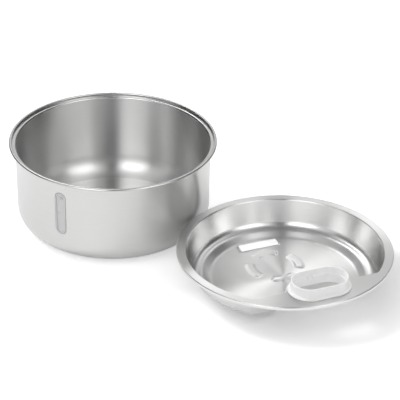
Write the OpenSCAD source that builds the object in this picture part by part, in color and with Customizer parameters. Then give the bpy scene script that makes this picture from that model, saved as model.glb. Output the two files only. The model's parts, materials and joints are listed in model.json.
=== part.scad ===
// Stainless steel pet water fountain: a reservoir bowl with a level window, a drinking tray that
// stands beside it with its deck and oval collar, and the pump and filter stack that stands in the
// bowl.  Origin at the centre of the bowl's base, +Z up, -Y towards the side that holds the pump.
// Millimetres throughout.

/* [Bowl] */
// Height of the bowl to the top of its rim
bowl_h = 113.4; // [108:0.1:130]
// Outer radius of the rim
rim_r = 130; // [128.5:0.5:140]
// Outer radius of the wall just below the rim
wall_r = 122; // [119:0.5:124]
// How much narrower the wall is at the base than at the rim
wall_draft = 0.9; // [0:0.1:3]
// Outer radius of the corner between wall and base
corner_r = 27; // [18:0.5:32]
// Thickness of the steel sheet
sheet_t = 0.8; // [0.6:0.1:1]
// Width of the raised lip that runs round the rim
lip_w = 4; // [3.5:0.1:4.5]
// Drop from the lip to the ledge inside it
ledge_drop = 3.5; // [2.5:0.1:5]
// Height of the rim's turned-down edge
hem_h = 2.5; // [2:0.1:4]

/* [Level window] */
// Width of the window
window_w = 15.6; // [12:0.2:18]
// Height of the window, over its round ends
window_h = 58; // [48:1:60]
// How far the window's middle lies below the middle of the straight wall
window_sink = 2; // [0:0.1:5]
// Direction of the window round the bowl, in degrees from +X
window_az = -119.2; // [-130:0.2:-112]
// How far the clear lens stands proud of the wall
lens_proud = 0.6; // [0.2:0.1:1]
// Width of the lens's flange round the opening
lens_flange = 3; // [2:0.2:3.4]
// Radius of the weld studs that hold the clamp frame
stud_r = 1.5; // [1.2:0.1:1.8]

/* [Tray] */
// Depth of the tray, from the flange's top to the floor it stands on
tray_depth = 41; // [38:0.5:44]
// Radius at which the tray's wall starts below the flange
mouth_r = 121; // [117:0.5:121.5]
// Draft of the tray's wall, in degrees
tray_draft = 19.6; // [14:0.2:24]
// Depth of the shoulder round the pan floor
shoulder_depth = 33.5; // [30:0.5:36]
// Radius of the shoulder's inner edge
pan_r = 99; // [94:0.5:101]
// Radius of the bend between pan floor and shoulder
pan_bend_r = 5; // [3:0.5:6]
// Height of the flange's turned-down lip
tray_lip_h = 4; // [3:0.1:6]
// Radial clearance of that lip round the bowl's rim
lip_gap = 0.5; // [0.3:0.1:1]
// Direction in which the tray stands beside the bowl, in degrees from +X
tray_az = -33; // [-60:1:30]
// Turn of the tray about its own middle, in degrees
tray_turn = 23; // [0:1:60]
// Gap between the tray's flange and the bowl's wall
tray_gap = 0.8; // [0.5:0.1:20]

/* [Deck and collar] */
// Distance of the deck's straight edge from the tray's middle
deck_chord = 89; // [85:0.5:92]
// Radius of the round lobe that carries the collar
lobe_r = 27; // [26.5:0.5:29]
// Distance of the collar's middle from the tray's middle
collar_at = 96.5; // [94:0.5:98]
// Half the distance between the collar's two round ends
collar_a = 13.8; // [10:0.2:16]
// Radius of the collar's round ends, at the tube
collar_end_r = 21.5; // [18:0.5:22]
// Height of the collar above the deck
collar_h = 14.5; // [10:0.5:20]
// Thickness of the collar's wall
collar_t = 2.6; // [2:0.1:3.2]
// Width of the collar's base flange outside the tube
collar_flange = 3.6; // [2.5:0.1:4]
// Thickness of the collar's base flange
collar_flange_t = 2; // [1.5:0.1:3]
// Thickness of the gaskets
gasket_t = 0.8; // [0.6:0.1:1.2]

/* [Drain louver and pads] */
// Length of the louver's slit
louver_l = 56; // [40:1:60]
// Distance of the slit from the tray's middle
louver_at = 70.5; // [66:0.5:72]
// Depth of the louver from slit to back edge
louver_w = 15; // [10:0.5:16]
// Rise of the louver's lip above the pan floor
louver_rise = 3.4; // [2.5:0.1:5]
// Distance of the pads' ring from the tray's middle
ring_at = 27; // [20:1:30]
// Middle radius of the ring of pads
ring_r = 30; // [24:0.5:32]
// Width of the pads
pad_w = 12; // [8:0.5:14]
// Arc of each pad, in degrees
pad_arc = 62; // [40:1:75]
// Rise of the pads above the pan floor
pad_rise = 1.2; // [0.8:0.1:2]

/* [Pump] */
// Length of the motor housing
housing_l = 34; // [30:1:38]
// Width of the pump
pump_w = 36; // [32:1:38]
// Height of the pump without its feet
pump_h = 31; // [28:0.5:33]
// Thickness of the volute cover
volute_t = 10; // [9:0.5:12]
// Radius of the impeller's chamber
chamber_r = 12.6; // [12:0.2:13]
// Radius of the impeller
impeller_r = 11; // [9:0.2:11.4]
// Number of the impeller's blades
blade_count = 6; // [4:1:8]
// Radius of the rotor magnet
rotor_r = 6; // [5:0.1:7]
// Length of the rotor magnet
rotor_l = 18; // [14:1:20]
// Radius of the ceramic shaft
shaft_r = 1.2; // [1:0.1:1.5]
// Outer radius of the outlet nipple
nipple_r = 5; // [4:0.1:5.5]
// Length of the intake grille
grille_l = 17; // [14:0.5:18]
// Height of the suction feet
foot_h = 5; // [4:0.5:6]
// Radius of the suction feet
foot_r = 6; // [5:0.5:6.5]

/* [Filter] */
// Half the distance between the filter tub's two round ends
tub_a = 13.5; // [12:0.5:15]
// Radius of the tub's round ends
tub_end_r = 21; // [20:0.5:22]
// Height of the tub
tub_h = 23; // [20:0.5:24]
// Thickness of the tub's wall
tub_t = 1.8; // [1.4:0.1:2.2]
// Height of the foam pad
foam_h = 5; // [3:0.5:6]
// Height of the carbon pad
carbon_h = 5; // [4:0.5:6]
// Radius of the spout
spout_r = 5.5; // [5:0.1:6]
// Height of the spout above the lid
spout_h = 17; // [12:0.5:18]

/* [Hidden] */
$fn = 96;

seat = 0.3;             // gap between pieces of two bodies
close_gap = 0.05;       // gap between pieces of one body that meet on curved faces
run_gap = 0.05;         // radial clearance of shafts and nipple in their bores
over = 1;               // overshoot of cutting solids
bend_steps = 6;
corner_steps = 14;

// ---- plain outlines: lists of [x, y, radius of the bend at that point] ----

function unit(v) = v / norm(v);
function left_of(v) = [-v[1], v[0]];
function flat_pt(p) = [p[0], p[1]];
function way_in(pts, i) = i > 0 ? unit(flat_pt(pts[i]) - flat_pt(pts[i - 1]))
    : unit(flat_pt(pts[1]) - flat_pt(pts[0]));
function way_out(pts, i) = i < len(pts) - 1 ? unit(flat_pt(pts[i + 1]) - flat_pt(pts[i]))
    : way_in(pts, i);
function turn_at(pts, i) = let (a = way_in(pts, i), b = way_out(pts, i))
    atan2(a[0] * b[1] - a[1] * b[0], a[0] * b[0] + a[1] * b[1]);
// the outline moved to its left by d, with every bend kept round its own centre
function moved_left(pts, d) = [for (i = [0 : len(pts) - 1])
    let (n = left_of(way_in(pts, i)), m = unit(n + left_of(way_out(pts, i))),
        p = flat_pt(pts[i]) + m * d / (m * n), r = pts[i][2])
    [p[0], p[1], r > 0 ? r - sign(turn_at(pts, i)) * d : 0]];
// the points of one bend
function bend(pts, i, steps) = let (phi = turn_at(pts, i), r = pts[i][2], a = way_in(pts, i),
        start = flat_pt(pts[i]) - a * r * tan(abs(phi) / 2),
        mid = start + left_of(a) * r * sign(phi), from = start - mid)
    [for (k = [0 : steps]) let (t = phi * k / steps)
        mid + [from[0] * cos(t) - from[1] * sin(t), from[0] * sin(t) + from[1] * cos(t)]];
function rounded(pts, steps = bend_steps) = [for (i = [0 : len(pts) - 1])
    each (pts[i][2] > 0 && abs(turn_at(pts, i)) > 0.01
        ? bend(pts, i, pts[i][2] > 10 ? corner_steps : steps) : [flat_pt(pts[i])])];
function reversed(list) = [for (i = [len(list) - 1 : -1 : 0]) list[i]];

// an oval slab: two round ends of radius r, their middles a either side of the centre
module oval(a, r, h) {
    linear_extrude(h) {
        square([2 * a, 2 * r], center = true);
        for (s = [-1, 1])
            translate([s * a, 0])
                circle(r);
    }
}

module oval_ring(a, r_out, r_in, h) {
    difference() {
        oval(a, r_out, h);
        translate([0, 0, -over])
            oval(a, r_in, h + 2 * over);
    }
}

// a box with round upright edges, its middle at the origin and its base at z = 0
module round_box(size, r) {
    linear_extrude(size[2]) {
        square([size[0] - 2 * r, size[1]], center = true);
        square([size[0], size[1] - 2 * r], center = true);
        for (x = [-1, 1], y = [-1, 1])
            translate([x * (size[0] / 2 - r), y * (size[1] / 2 - r)])
                circle(r);
    }
}

// ---- bowl ----

rim_bend = 1.2;
hem_bend = 1.0;
base_r = wall_r - wall_draft;
ledge_z = bowl_h - ledge_drop - sheet_t;
step_r = rim_r - lip_w + sheet_t;
bowl_line = [[0, 0, 0], [base_r, 0, corner_r], [wall_r, ledge_z, rim_bend],
    [step_r, ledge_z, rim_bend], [step_r, bowl_h - sheet_t, rim_bend / 2],
    [rim_r - sheet_t, bowl_h - sheet_t, hem_bend], [rim_r - sheet_t, bowl_h - hem_h, 0]];
flat_r = base_r - corner_r;

// radius of the bowl's wall at height z, outer face
function wall_at(z) = base_r + wall_draft * z / ledge_z;

// a shell that follows the inside of the bowl's wall, from gap_a to gap_b inside it
module wall_liner(gap_a, gap_b) {
    inner_base = base_r - sheet_t;
    inner_top = wall_at(bowl_h) - sheet_t;
    difference() {
        cylinder(h = bowl_h, r1 = inner_base - gap_a, r2 = inner_top - gap_a, $fn = 180);
        translate([0, 0, -over])
            cylinder(h = bowl_h + 2 * over, r1 = inner_base - gap_b, r2 = inner_top - gap_b, $fn = 180);
    }
}

// moves its children to the window, with +Z pointing out of the bowl and +X up
module at_window() {
    rotate([0, 0, window_az])
        translate([0, 0, window_z])
            rotate([0, 90, 0])
                rotate([0, 0, 180])
                    children();
}

window_z = (ledge_z + corner_r) / 2 - window_sink;
window_r = window_w / 2;
window_a = window_h / 2 - window_r;
lens_gap = 0.3;
stud_off = 1.2;         // gap between the lens's flange and the studs
stud_at = window_h / 2 + lens_flange + stud_r + stud_off;
frame_t = 1.6;
flange_t = 1.4;
frame_gap = gasket_t + flange_t + close_gap;
nut_af = 2.9 * stud_r;
nut_h = 1.8 * stud_r;
ear_r = 2.6 * stud_r;

// distance of a nut's inner end from the bowl's axis, for the upper (1) or lower (-1) stud
function nut_end(s) = wall_at(window_z + s * stud_at) - sheet_t - frame_gap - frame_t
    - 2 * run_gap - nut_h;

module window_studs() {
    at_window()
        for (s = [-1, 1])
            translate([s * stud_at, 0, nut_end(s) + close_gap])
                cylinder(h = wall_at(window_z) - sheet_t / 2 - nut_end(s) - close_gap, r = stud_r,
                    $fn = 32);
}

module reservoir_bowl() {
    color("#b9babb") {
        difference() {
            rotate_extrude($fn = 180)
                polygon(concat(rounded(bowl_line), reversed(rounded(moved_left(bowl_line, sheet_t)))));
            at_window()
                translate([0, 0, base_r / 2])
                    oval(window_a, window_r, base_r);
        }
        window_studs();
    }
}

// ---- level window ----

mark_z = window_z;
mark_l = 6;
mark_h = 0.6;

module level_window() {
    color("#dfe6ea", 0.5)
        difference() {
            union() {
                intersection() {
                    at_window()
                        translate([0, 0, base_r / 2])
                            oval(window_a, window_r - lens_gap, base_r);
                    wall_liner(-sheet_t - lens_proud, gasket_t + flange_t);
                }
                intersection() {
                    at_window()
                        translate([0, 0, base_r / 2])
                            oval(window_a, window_r + lens_flange, base_r);
                    wall_liner(gasket_t, gasket_t + flange_t);
                }
            }
            // the level mark, a groove cut into the back of the lens
            rotate([0, 0, window_az])
                translate([0, -window_r + 2 * lens_gap, mark_z])
                    linear_extrude(mark_h)
                        square([base_r - gasket_t - sheet_t - mark_h, mark_l]);
        }
}

module window_gasket() {
    color("#3a3c3e")
        intersection() {
            at_window()
                translate([0, 0, base_r / 2])
                    oval_ring(window_a, window_r + lens_flange, window_r, base_r);
            wall_liner(close_gap, gasket_t - close_gap);
        }
}

module window_frame() {
    color("#e8e9e6")
        difference() {
            intersection() {
                at_window()
                    translate([0, 0, base_r / 2])
                        union() {
                            oval_ring(window_a, window_r + lens_flange, window_r, base_r);
                            for (s = [-1, 1])
                                translate([s * stud_at, 0, 0])
                                    cylinder(h = base_r, r = ear_r, $fn = 48);
                        }
                wall_liner(frame_gap, frame_gap + frame_t);
            }
            at_window()
                for (s = [-1, 1])
                    translate([s * stud_at, 0, base_r / 2])
                        cylinder(h = base_r, r = stud_r + 2 * run_gap, $fn = 48);
        }
}

dome_in = 0.2;          // how far a nut's dome stays inside its flats

// two cap nuts on the weld studs
module window_nuts() {
    color("#c4c6c8")
        at_window()
            for (s = [-1, 1])
                translate([s * stud_at, 0, nut_end(s)])
                    difference() {
                        union() {
                            cylinder(h = nut_h, r = nut_af / 2 / cos(30), $fn = 6);
                            sphere(r = nut_af / 2 - dome_in, $fn = 32);
                        }
                        cylinder(h = nut_h + over, r = stud_r + run_gap, $fn = 32);
                    }
}

// ---- tray ----

flange_r = rim_r + lip_gap + sheet_t;
wall_slope = tan(tray_draft);
shoulder_r = mouth_r - (shoulder_depth - sheet_t) * wall_slope;
pan_step = tray_depth - shoulder_depth;
floor_r = pan_r - pan_step * wall_slope;
shoulder_bend = 6;
edge_bend = 1.6;
tray_bend = 1.0;
tray_line = [[0, -tray_depth, 0], [floor_r, -tray_depth, pan_bend_r],
    [pan_r, -shoulder_depth, edge_bend], [shoulder_r, -shoulder_depth, shoulder_bend],
    [mouth_r, -sheet_t, tray_bend], [flange_r - sheet_t, -sheet_t, tray_bend / 2],
    [flange_r - sheet_t, -tray_lip_h, 0]];
floor_top = -tray_depth + sheet_t;
tray_reach = wall_r + flange_r + tray_gap;
tray_x = tray_reach * cos(tray_az);
tray_y = tray_reach * sin(tray_az);

// moves its children to where the tray stands: flange top at z = 0 of the children
module at_tray() {
    translate([tray_x, tray_y, tray_depth])
        rotate([0, 0, tray_turn])
            children();
}

// the tray's outer body, filled up to the flange's top
module tray_filled() {
    top_edge = rounded([[mouth_r, 0, 0], [flange_r, 0, tray_bend / 2 + sheet_t],
        [flange_r, -tray_lip_h, 0]]);
    rotate_extrude($fn = 180)
        polygon(concat(rounded(tray_line), reversed(top_edge), [[0, 0]]));
}

// the hollow that the sheet's upper face bounds
module tray_hollow() {
    inner = rounded(moved_left([for (i = [0 : 5]) tray_line[i]], sheet_t));
    upto = [for (p = inner) if (p[0] < flange_r - 3 * sheet_t) p];
    last = upto[len(upto) - 1];
    rotate_extrude($fn = 180)
        polygon(concat(upto, [[last[0], over], [0, over]]));
}

block_top = 2 * over;
block_h = tray_depth + block_top + over;

// half of the difference in width that the draft makes between two heights
function spread(z) = -z * wall_slope;

// a slab whose two long faces lean out with the draft: half is its half width at z = 0
module drafted_slab(y_mid, half, half_l) {
    low = -tray_depth - over;
    rotate([90, 0, 90])
        linear_extrude(2 * half_l, center = true)
            polygon([[y_mid - half - spread(low), low], [y_mid + half + spread(low), low],
                [y_mid + half + spread(block_top), block_top],
                [y_mid - half - spread(block_top), block_top]]);
}

// an upright cone whose radius is r at z = 0 and grows downwards with the draft
module drafted_cone(r) {
    low = -tray_depth - over;
    translate([0, 0, low])
        cylinder(h = block_h, r1 = r + spread(low), r2 = r + spread(block_top), $fn = 96);
}

// the raised deck as a drafted block; inset thins it on every side
module deck_block(inset) {
    chord = deck_chord + inset;
    lobe = lobe_r - inset;
    outer_half = (mouth_r - deck_chord) / 2 + sheet_t + over;
    drafted_slab(-chord - outer_half, outer_half, mouth_r);
    drafted_slab(-collar_at, lobe, collar_a);
    for (s = [-1, 1])
        translate([s * collar_a, -collar_at, 0])
            drafted_cone(lobe);
}

skirt_h = 6;
skirt_in = 0.4;
hole_gap = 0.3;
skirt_end_r = collar_end_r - skirt_in;

module collar_hole() {
    translate([0, -collar_at, -2 * sheet_t])
        oval(collar_a, skirt_end_r + hole_gap, 3 * sheet_t);
}

louver_r = 4;

// the louver's outline in plan, shrunk by inset on its closed sides
module louver_plan(inset, front) {
    back = louver_at + louver_w - inset;
    half = louver_l / 2 - inset;
    translate([-half + louver_r, louver_at - front])
        square([2 * half - 2 * louver_r, back - louver_at + front]);
    translate([-half, louver_at - front])
        square([2 * half, back - louver_at + front - louver_r]);
    for (s = [-1, 1])
        translate([s * (half - louver_r), back - louver_r])
            circle(louver_r, $fn = 48);
}

// the ramp that rises from below the pan floor's top, by deep, to the louver's lip
module louver_ramp(drop, front, deep) {
    rise = louver_rise - drop;
    rotate([90, 0, 90])
        linear_extrude(louver_l + 2 * over, center = true)
            polygon([[louver_at - front, floor_top - deep],
                [louver_at + louver_w, floor_top - deep],
                [louver_at + louver_w, floor_top - drop],
                [louver_at, floor_top + rise], [louver_at - front, floor_top + rise]]);
}

module louver_solid(inset, drop, front, deep) {
    intersection() {
        translate([0, 0, floor_top - 3 * sheet_t])
            linear_extrude(louver_rise + 4 * sheet_t)
                louver_plan(inset, front);
        louver_ramp(drop, front, deep);
    }
}

// one raised pad of the ring, inset on every side
module pad(inset, base_z, top_z) {
    arc_in = inset / ring_r * 180 / PI;
    translate([0, ring_at, base_z])
        rotate([0, 0, -pad_arc / 2 + arc_in])
            rotate_extrude(angle = pad_arc - 2 * arc_in, $fn = 96)
                translate([ring_r - pad_w / 2 + inset, 0])
                    square([pad_w - 2 * inset, top_z - base_z]);
}

// the four pads, each on an axis of the ring
module pads(inset, base_z, top_z) {
    for (k = [0 : 3])
        translate([0, ring_at, 0])
            rotate([0, 0, 90 * k])
                translate([0, -ring_at, 0])
                    pad(inset, base_z, top_z);
}

module drinking_tray() {
    color("#bcbdbe")
        at_tray() {
            difference() {
                union() {
                    difference() {
                        tray_filled();
                        difference() {
                            tray_hollow();
                            deck_block(0);
                        }
                    }
                    louver_solid(0, 0, 0, sheet_t / 2);
                    pads(0, floor_top - sheet_t / 2, floor_top + pad_rise);
                }
                // the open space below the deck
                intersection() {
                    deck_block(sheet_t / cos(tray_draft));
                    translate([0, 0, -tray_depth - over])
                        cylinder(h = tray_depth + over - sheet_t, r = mouth_r + 2 * sheet_t, $fn = 180);
                }
                collar_hole();
                louver_solid(sheet_t, sheet_t, over, 2 * sheet_t);
                pads(sheet_t, floor_top - sheet_t - over, floor_top + pad_rise - sheet_t);
            }
        }
}

// ---- collar ----

ring_h = 3;
lock_gap = 0.2;
slit_w = 1.2;
slit_h = 5;
slit_xs = [-19, -12.5, 22];
collar_round = 0.8;
gasket_in = 1;          // how far the gasket stays inside the flange's edge

// the collar stands on its gasket; its skirt hangs through the deck
module tray_collar() {
    base_z = gasket_t;
    color("#f1f2f0")
        at_tray()
            translate([0, -collar_at, 0])
                difference() {
                    union() {
                        translate([0, 0, base_z])
                            oval(collar_a, collar_end_r + collar_flange, collar_flange_t);
                        translate([0, 0, base_z])
                            oval(collar_a, collar_end_r, collar_h - base_z - collar_round);
                        translate([0, 0, base_z])
                            oval(collar_a, collar_end_r - collar_round / 2, collar_h - base_z);
                        translate([0, 0, -skirt_h])
                            oval(collar_a, skirt_end_r, skirt_h + base_z);
                    }
                    translate([0, 0, -skirt_h - over])
                        oval(collar_a, collar_end_r - collar_t, skirt_h + collar_h + 2 * over);
                    for (x = slit_xs)
                        translate([x - slit_w / 2, 0, base_z + collar_flange_t])
                            cube([slit_w, collar_end_r + collar_t, slit_h]);
                }
}

module collar_gasket() {
    color("#d9dbda")
        at_tray()
            translate([0, -collar_at, 0])
                oval_ring(collar_a, collar_end_r + collar_flange - gasket_in, skirt_end_r + hole_gap,
                    gasket_t);
}

lock_w = 2.6;           // width of the lock ring, and of its wider half
lock_wide = 3.4;

// the ring that grips the skirt from below the deck
module collar_lock_ring() {
    color("#e3e5e3")
        at_tray()
            translate([0, -collar_at, -sheet_t - ring_h])
                difference() {
                    union() {
                        oval(collar_a, skirt_end_r + lock_w, ring_h);
                        translate([0, 0, ring_h / 2])
                            oval(collar_a, skirt_end_r + lock_wide, ring_h / 2);
                    }
                    translate([0, 0, -over])
                        oval(collar_a, skirt_end_r + lock_gap / 4, ring_h + 2 * over);
                }
}

// ---- pump ----

foot_inset = 0.5;       // how far the feet's middles lie inside the corner's own radius
foot_dx = housing_l / 2 - foot_r + foot_inset;
foot_dy = pump_w / 2 - foot_r;
part_x = -1;            // where housing and volute cover meet
housing_x = part_x - housing_l / 2;
foot_margin = 1.5;
stack_x_far = abs(housing_x) + foot_dx;
stack_y = -(sqrt(pow(flat_r - foot_r - foot_margin, 2) - stack_x_far * stack_x_far) - foot_dy);
pump_z = sheet_t + foot_h;
axis_z = pump_z + pump_h / 2;
body_r = 5;
top_ease = 1.2;         // height and inset of the step that eases a moulding's edge
volute_x = part_x;
volute_end = volute_x + volute_t;
volute_in = 2;          // how much narrower volute and grille are than the housing
end_wall = 2.6;
chamber_d = volute_t - end_wall;
nipple_rise = 8;
nipple_z = pump_z + pump_h + nipple_rise;
nipple_wall = 1.6;
nipple_bore = nipple_r - nipple_wall;
nipple_x = volute_x + volute_t / 2;
well_gap = 1.8;         // radial room for water round the magnet
well_r = rotor_r + well_gap;
rotor_gap = 0.6;
well_end = 4;
well_d = rotor_l + well_end;
bush_wall = 1.6;
bush_r = shaft_r + bush_wall;
bush_l = 2.4;
bush_proud = 0.8;
bush_floor = 0.4;
front_bush_l = 1.8;
rear_x = volute_x - well_d - bush_l;
front_x = volute_x + chamber_d;
shaft_x = rear_x + bush_floor;
shaft_end = front_x + front_bush_l - bush_floor;

module at_pump() {
    translate([0, stack_y, 0])
        children();
}

// an X-axis cylinder that starts at x
module x_cyl(x, r, l) {
    translate([x, 0, axis_z])
        rotate([0, 90, 0])
            cylinder(h = l, r = r, $fn = 64);
}

// a box with round edges along X that starts at x: height, width, length
module x_box(x, size, r) {
    translate([x, 0, axis_z])
        rotate([0, 90, 0])
            round_box(size, r);
}

fin_count = 5;
fin_w = 1.6;
fin_pitch = 5;
fin_rise = 0.6;
fin_sunk = 0.5;
fin_low = 4;
fin_high = 6;

module pump_housing() {
    fin_t = fin_rise + fin_sunk;
    color("#34383c")
        at_pump()
            difference() {
                union() {
                    translate([housing_x, 0, pump_z])
                        round_box([housing_l, pump_w, pump_h - top_ease], body_r);
                    translate([housing_x, 0, pump_z + pump_h - top_ease])
                        round_box([housing_l - 2 * top_ease, pump_w - 2 * top_ease, top_ease],
                            body_r - top_ease);
                    // upright ribs on both long sides
                    for (k = [0 : fin_count - 1], s = [-1, 1])
                        translate([housing_x + (k - (fin_count - 1) / 2) * fin_pitch - fin_w / 2,
                            s * (pump_w / 2 + fin_rise) - (s > 0 ? fin_t : 0), pump_z + fin_low])
                            cube([fin_w, fin_t, pump_h - fin_low - fin_high]);
                }
                // the rotor's well and the seat of the rear bush
                x_cyl(volute_x - well_d, well_r, well_d + over);
                x_cyl(rear_x, bush_r + run_gap, bush_l + over);
                // the gland's bore
                translate([housing_x - housing_l / 2 - over, 0, pump_z + pump_h - gland_drop])
                    rotate([0, 90, 0])
                        cylinder(h = gland_tail_l + seat + over, r = gland_tail_r + run_gap, $fn = 48);
                for (x = [-1, 1], y = [-1, 1])
                    translate([housing_x + x * foot_dx, y * foot_dy, pump_z - over])
                        cylinder(h = stem_h + over, r = stem_r + run_gap, $fn = 40);
            }
}

seal_off = 1.3;
seal_r = chamber_r + seal_off;
seal_t = 0.8;
eye_r = 6;
eye_bar = 2.4;
eye_hub = 1.2;
boss_w = 2;             // width of the boss round the nipple's foot
boss_h = 1;

module volute_cover() {
    color("#3b4045")
        at_pump()
            difference() {
                union() {
                    x_box(volute_x, [pump_h, pump_w - volute_in, volute_t], body_r);
                    translate([nipple_x, 0, axis_z])
                        cylinder(h = nipple_z - axis_z, r = nipple_r, $fn = 64);
                    // the nipple's boss, flat where the volute's faces end
                    intersection() {
                        translate([nipple_x, 0, pump_z + pump_h - over])
                            cylinder(h = over + boss_h, r = nipple_r + boss_w, $fn = 64);
                        translate([volute_x, -pump_w / 2, pump_z])
                            cube([volute_t, pump_w, pump_h + 2 * boss_h]);
                    }
                }
                x_cyl(volute_x - over, chamber_r, chamber_d + over);
                // the intake eye, with a bar left across it for the front bush
                difference() {
                    x_cyl(volute_x, eye_r, volute_t + over);
                    translate([front_x, -eye_bar / 2, axis_z - chamber_r])
                        cube([volute_t, eye_bar, 2 * chamber_r]);
                    x_cyl(front_x, bush_r + eye_hub, volute_t);
                }
                x_cyl(front_x - over, bush_r + run_gap, over + front_bush_l);
                translate([nipple_x, 0, axis_z])
                    cylinder(h = nipple_z, r = nipple_bore, $fn = 48);
                // the groove of the volute seal
                difference() {
                    x_cyl(volute_x - over, seal_r + seal_t + close_gap, over + 2 * seal_t);
                    x_cyl(volute_x - 2 * over, seal_r - seal_t - close_gap, 3 * over + 2 * seal_t);
                }
                // the groove of the nipple's seal
                translate([nipple_x, 0, nipple_z - ring_drop])
                    rotate_extrude($fn = 64)
                        translate([nipple_r - ring_wire, -ring_groove / 2])
                            square([ring_wire + over, ring_groove]);
            }
}

module volute_seal() {
    color("#6d2f2a")
        at_pump()
            translate([volute_x + seal_t, 0, axis_z])
                rotate([0, 90, 0])
                    rotate_extrude($fn = 96)
                        translate([seal_r, 0])
                            circle(seal_t - close_gap / 2, $fn = 24);
}

ring_wire = 0.9;        // section of the nipple's seal
ring_groove = 1.1;      // height of the seal's groove
ring_drop = 4;          // how far the seal lies below the nipple's mouth

module nipple_seal() {
    color("#6d2f2a")
        at_pump()
            translate([nipple_x, 0, nipple_z - ring_drop])
                rotate_extrude($fn = 64)
                    translate([nipple_r - ring_wire / 2, 0])
                        circle(ring_wire / 2 - run_gap, $fn = 24);
}

module rotor_shaft() {
    color("#e9e6dd")
        at_pump()
            x_cyl(shaft_x, shaft_r, shaft_end - close_gap - shaft_x);
}

module shaft_bushes() {
    color("#2d2d2d")
        at_pump()
            difference() {
                union() {
                    x_cyl(rear_x, bush_r, bush_l + bush_proud);
                    x_cyl(front_x - bush_proud, bush_r, front_bush_l + bush_proud);
                }
                x_cyl(shaft_x, shaft_r + run_gap / 2, shaft_end - shaft_x);
            }
}

stem_r = 2.4;
stem_h = 3;
cup_edge = 0.5;
cup_step = 0.2;
cup_h = 0.7;
cup_mid = 1.1;
cup_top = 1.6;
neck_z = 2.6;
neck_r = 0.6;           // share of the foot's radius
neck_h = 0.8;
collar_step = 0.3;
stem_collar = 1.6;

// four suction feet: a stem, a neck and a thin cup open below
module suction_feet() {
    stem_top = foot_h + stem_h - collar_step;
    color("#55585b")
        at_pump()
            for (x = [-1, 1], y = [-1, 1])
                translate([housing_x + x * foot_dx, y * foot_dy, sheet_t])
                    rotate_extrude($fn = 64)
                        polygon([[0, stem_top], [0, cup_top], [foot_r / 2, cup_mid],
                            [foot_r - cup_edge, 0], [foot_r, 0], [foot_r - cup_step, cup_h],
                            [foot_r * neck_r, neck_z], [stem_r + 2 * cup_step, foot_h - neck_h],
                            [stem_r + stem_collar, foot_h - collar_step],
                            [stem_r + stem_collar, foot_h], [stem_r, foot_h], [stem_r, stem_top]]);
}

gland_r = 4.2;
gland_step = 0.4;
gland_flange_t = 3;
gland_cone_l = 4;
gland_tail_l = 4.6;
gland_tail_r = 3;
gland_drop = 7;         // how far the cord's axis lies below the housing's top
gland_floor = 1.6;
cord_r = 1.9;           // bore for the cord

module cable_gland() {
    color("#26282a")
        at_pump()
            translate([housing_x - housing_l / 2, 0, pump_z + pump_h - gland_drop])
                rotate([0, -90, 0])
                    difference() {
                        union() {
                            cylinder(h = gland_flange_t, r = gland_r, $fn = 48);
                            translate([0, 0, gland_flange_t])
                                cylinder(h = gland_cone_l, r1 = gland_r - gland_step,
                                    r2 = gland_tail_r, $fn = 48);
                            translate([0, 0, -gland_tail_l])
                                cylinder(h = gland_tail_l, r = gland_tail_r, $fn = 48);
                        }
                        translate([0, 0, gland_floor - gland_tail_l])
                            cylinder(h = gland_tail_l + gland_flange_t + gland_cone_l, r = cord_r,
                                $fn = 32);
                    }
}

hub_t = 1.5;
hub_r = shaft_r + hub_t;
magnet_x = volute_x - 2 * rotor_gap - rotor_l;

// magnet on its sleeve, turning in the well
module rotor_magnet() {
    color("#4a4d50")
        at_pump()
            difference() {
                x_cyl(magnet_x, rotor_r, rotor_l);
                x_cyl(magnet_x - over, hub_r + run_gap, rotor_l + 2 * over);
            }
}

blade_t = 1.2;
blade_w = 4;
disc_t = 1.2;
tip_gap = 0.3;          // how far the blades' tips stay inside the disc's edge
blade_curve = 0.7;      // radius of the blades' curve, as a share of the impeller's
blade_shift = 0.55;     // sideways place of the curve's middle, as a share of the same
hub_l = rotor_l + 2 * rotor_gap + disc_t + blade_w;

// one curved blade, a slice of a ring, on the disc's face
module blade() {
    curve_r = impeller_r * blade_curve;
    intersection() {
        cylinder(h = disc_t / 2 + blade_w, r = impeller_r - tip_gap, $fn = 64);
        translate([(impeller_r + hub_r) / 2, -impeller_r * blade_shift, 0])
            difference() {
                cylinder(h = disc_t + blade_w, r = curve_r, $fn = 64);
                translate([0, 0, -over])
                    cylinder(h = disc_t + blade_w + 2 * over, r = curve_r - blade_t, $fn = 64);
                translate([-impeller_r, -2 * impeller_r, -over])
                    cube([2 * impeller_r, 2 * impeller_r, 3 * blade_w]);
            }
    }
}

module impeller() {
    color("#f0f0ee")
        at_pump()
            difference() {
                union() {
                    x_cyl(magnet_x, hub_r, hub_l);
                    x_cyl(volute_x + rotor_gap, impeller_r, disc_t);
                    for (k = [0 : blade_count - 1])
                        translate([volute_x + rotor_gap + disc_t / 2, 0, axis_z])
                            rotate([0, 90, 0])
                                rotate([0, 0, 360 / blade_count * k])
                                    blade();
                }
                x_cyl(magnet_x - over, shaft_r + run_gap, hub_l + 2 * over);
            }
}

grille_t = 1.6;
slot_w = 1.8;
slot_pitch = 4;
slot_margin = 8;
slot_from = 3;
slot_wrap = 7;          // how far a slot reaches in from the grille's side
grille_x = volute_end + seat;
grille_w = pump_w - volute_in;
grille_h = pump_h - 1;

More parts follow.
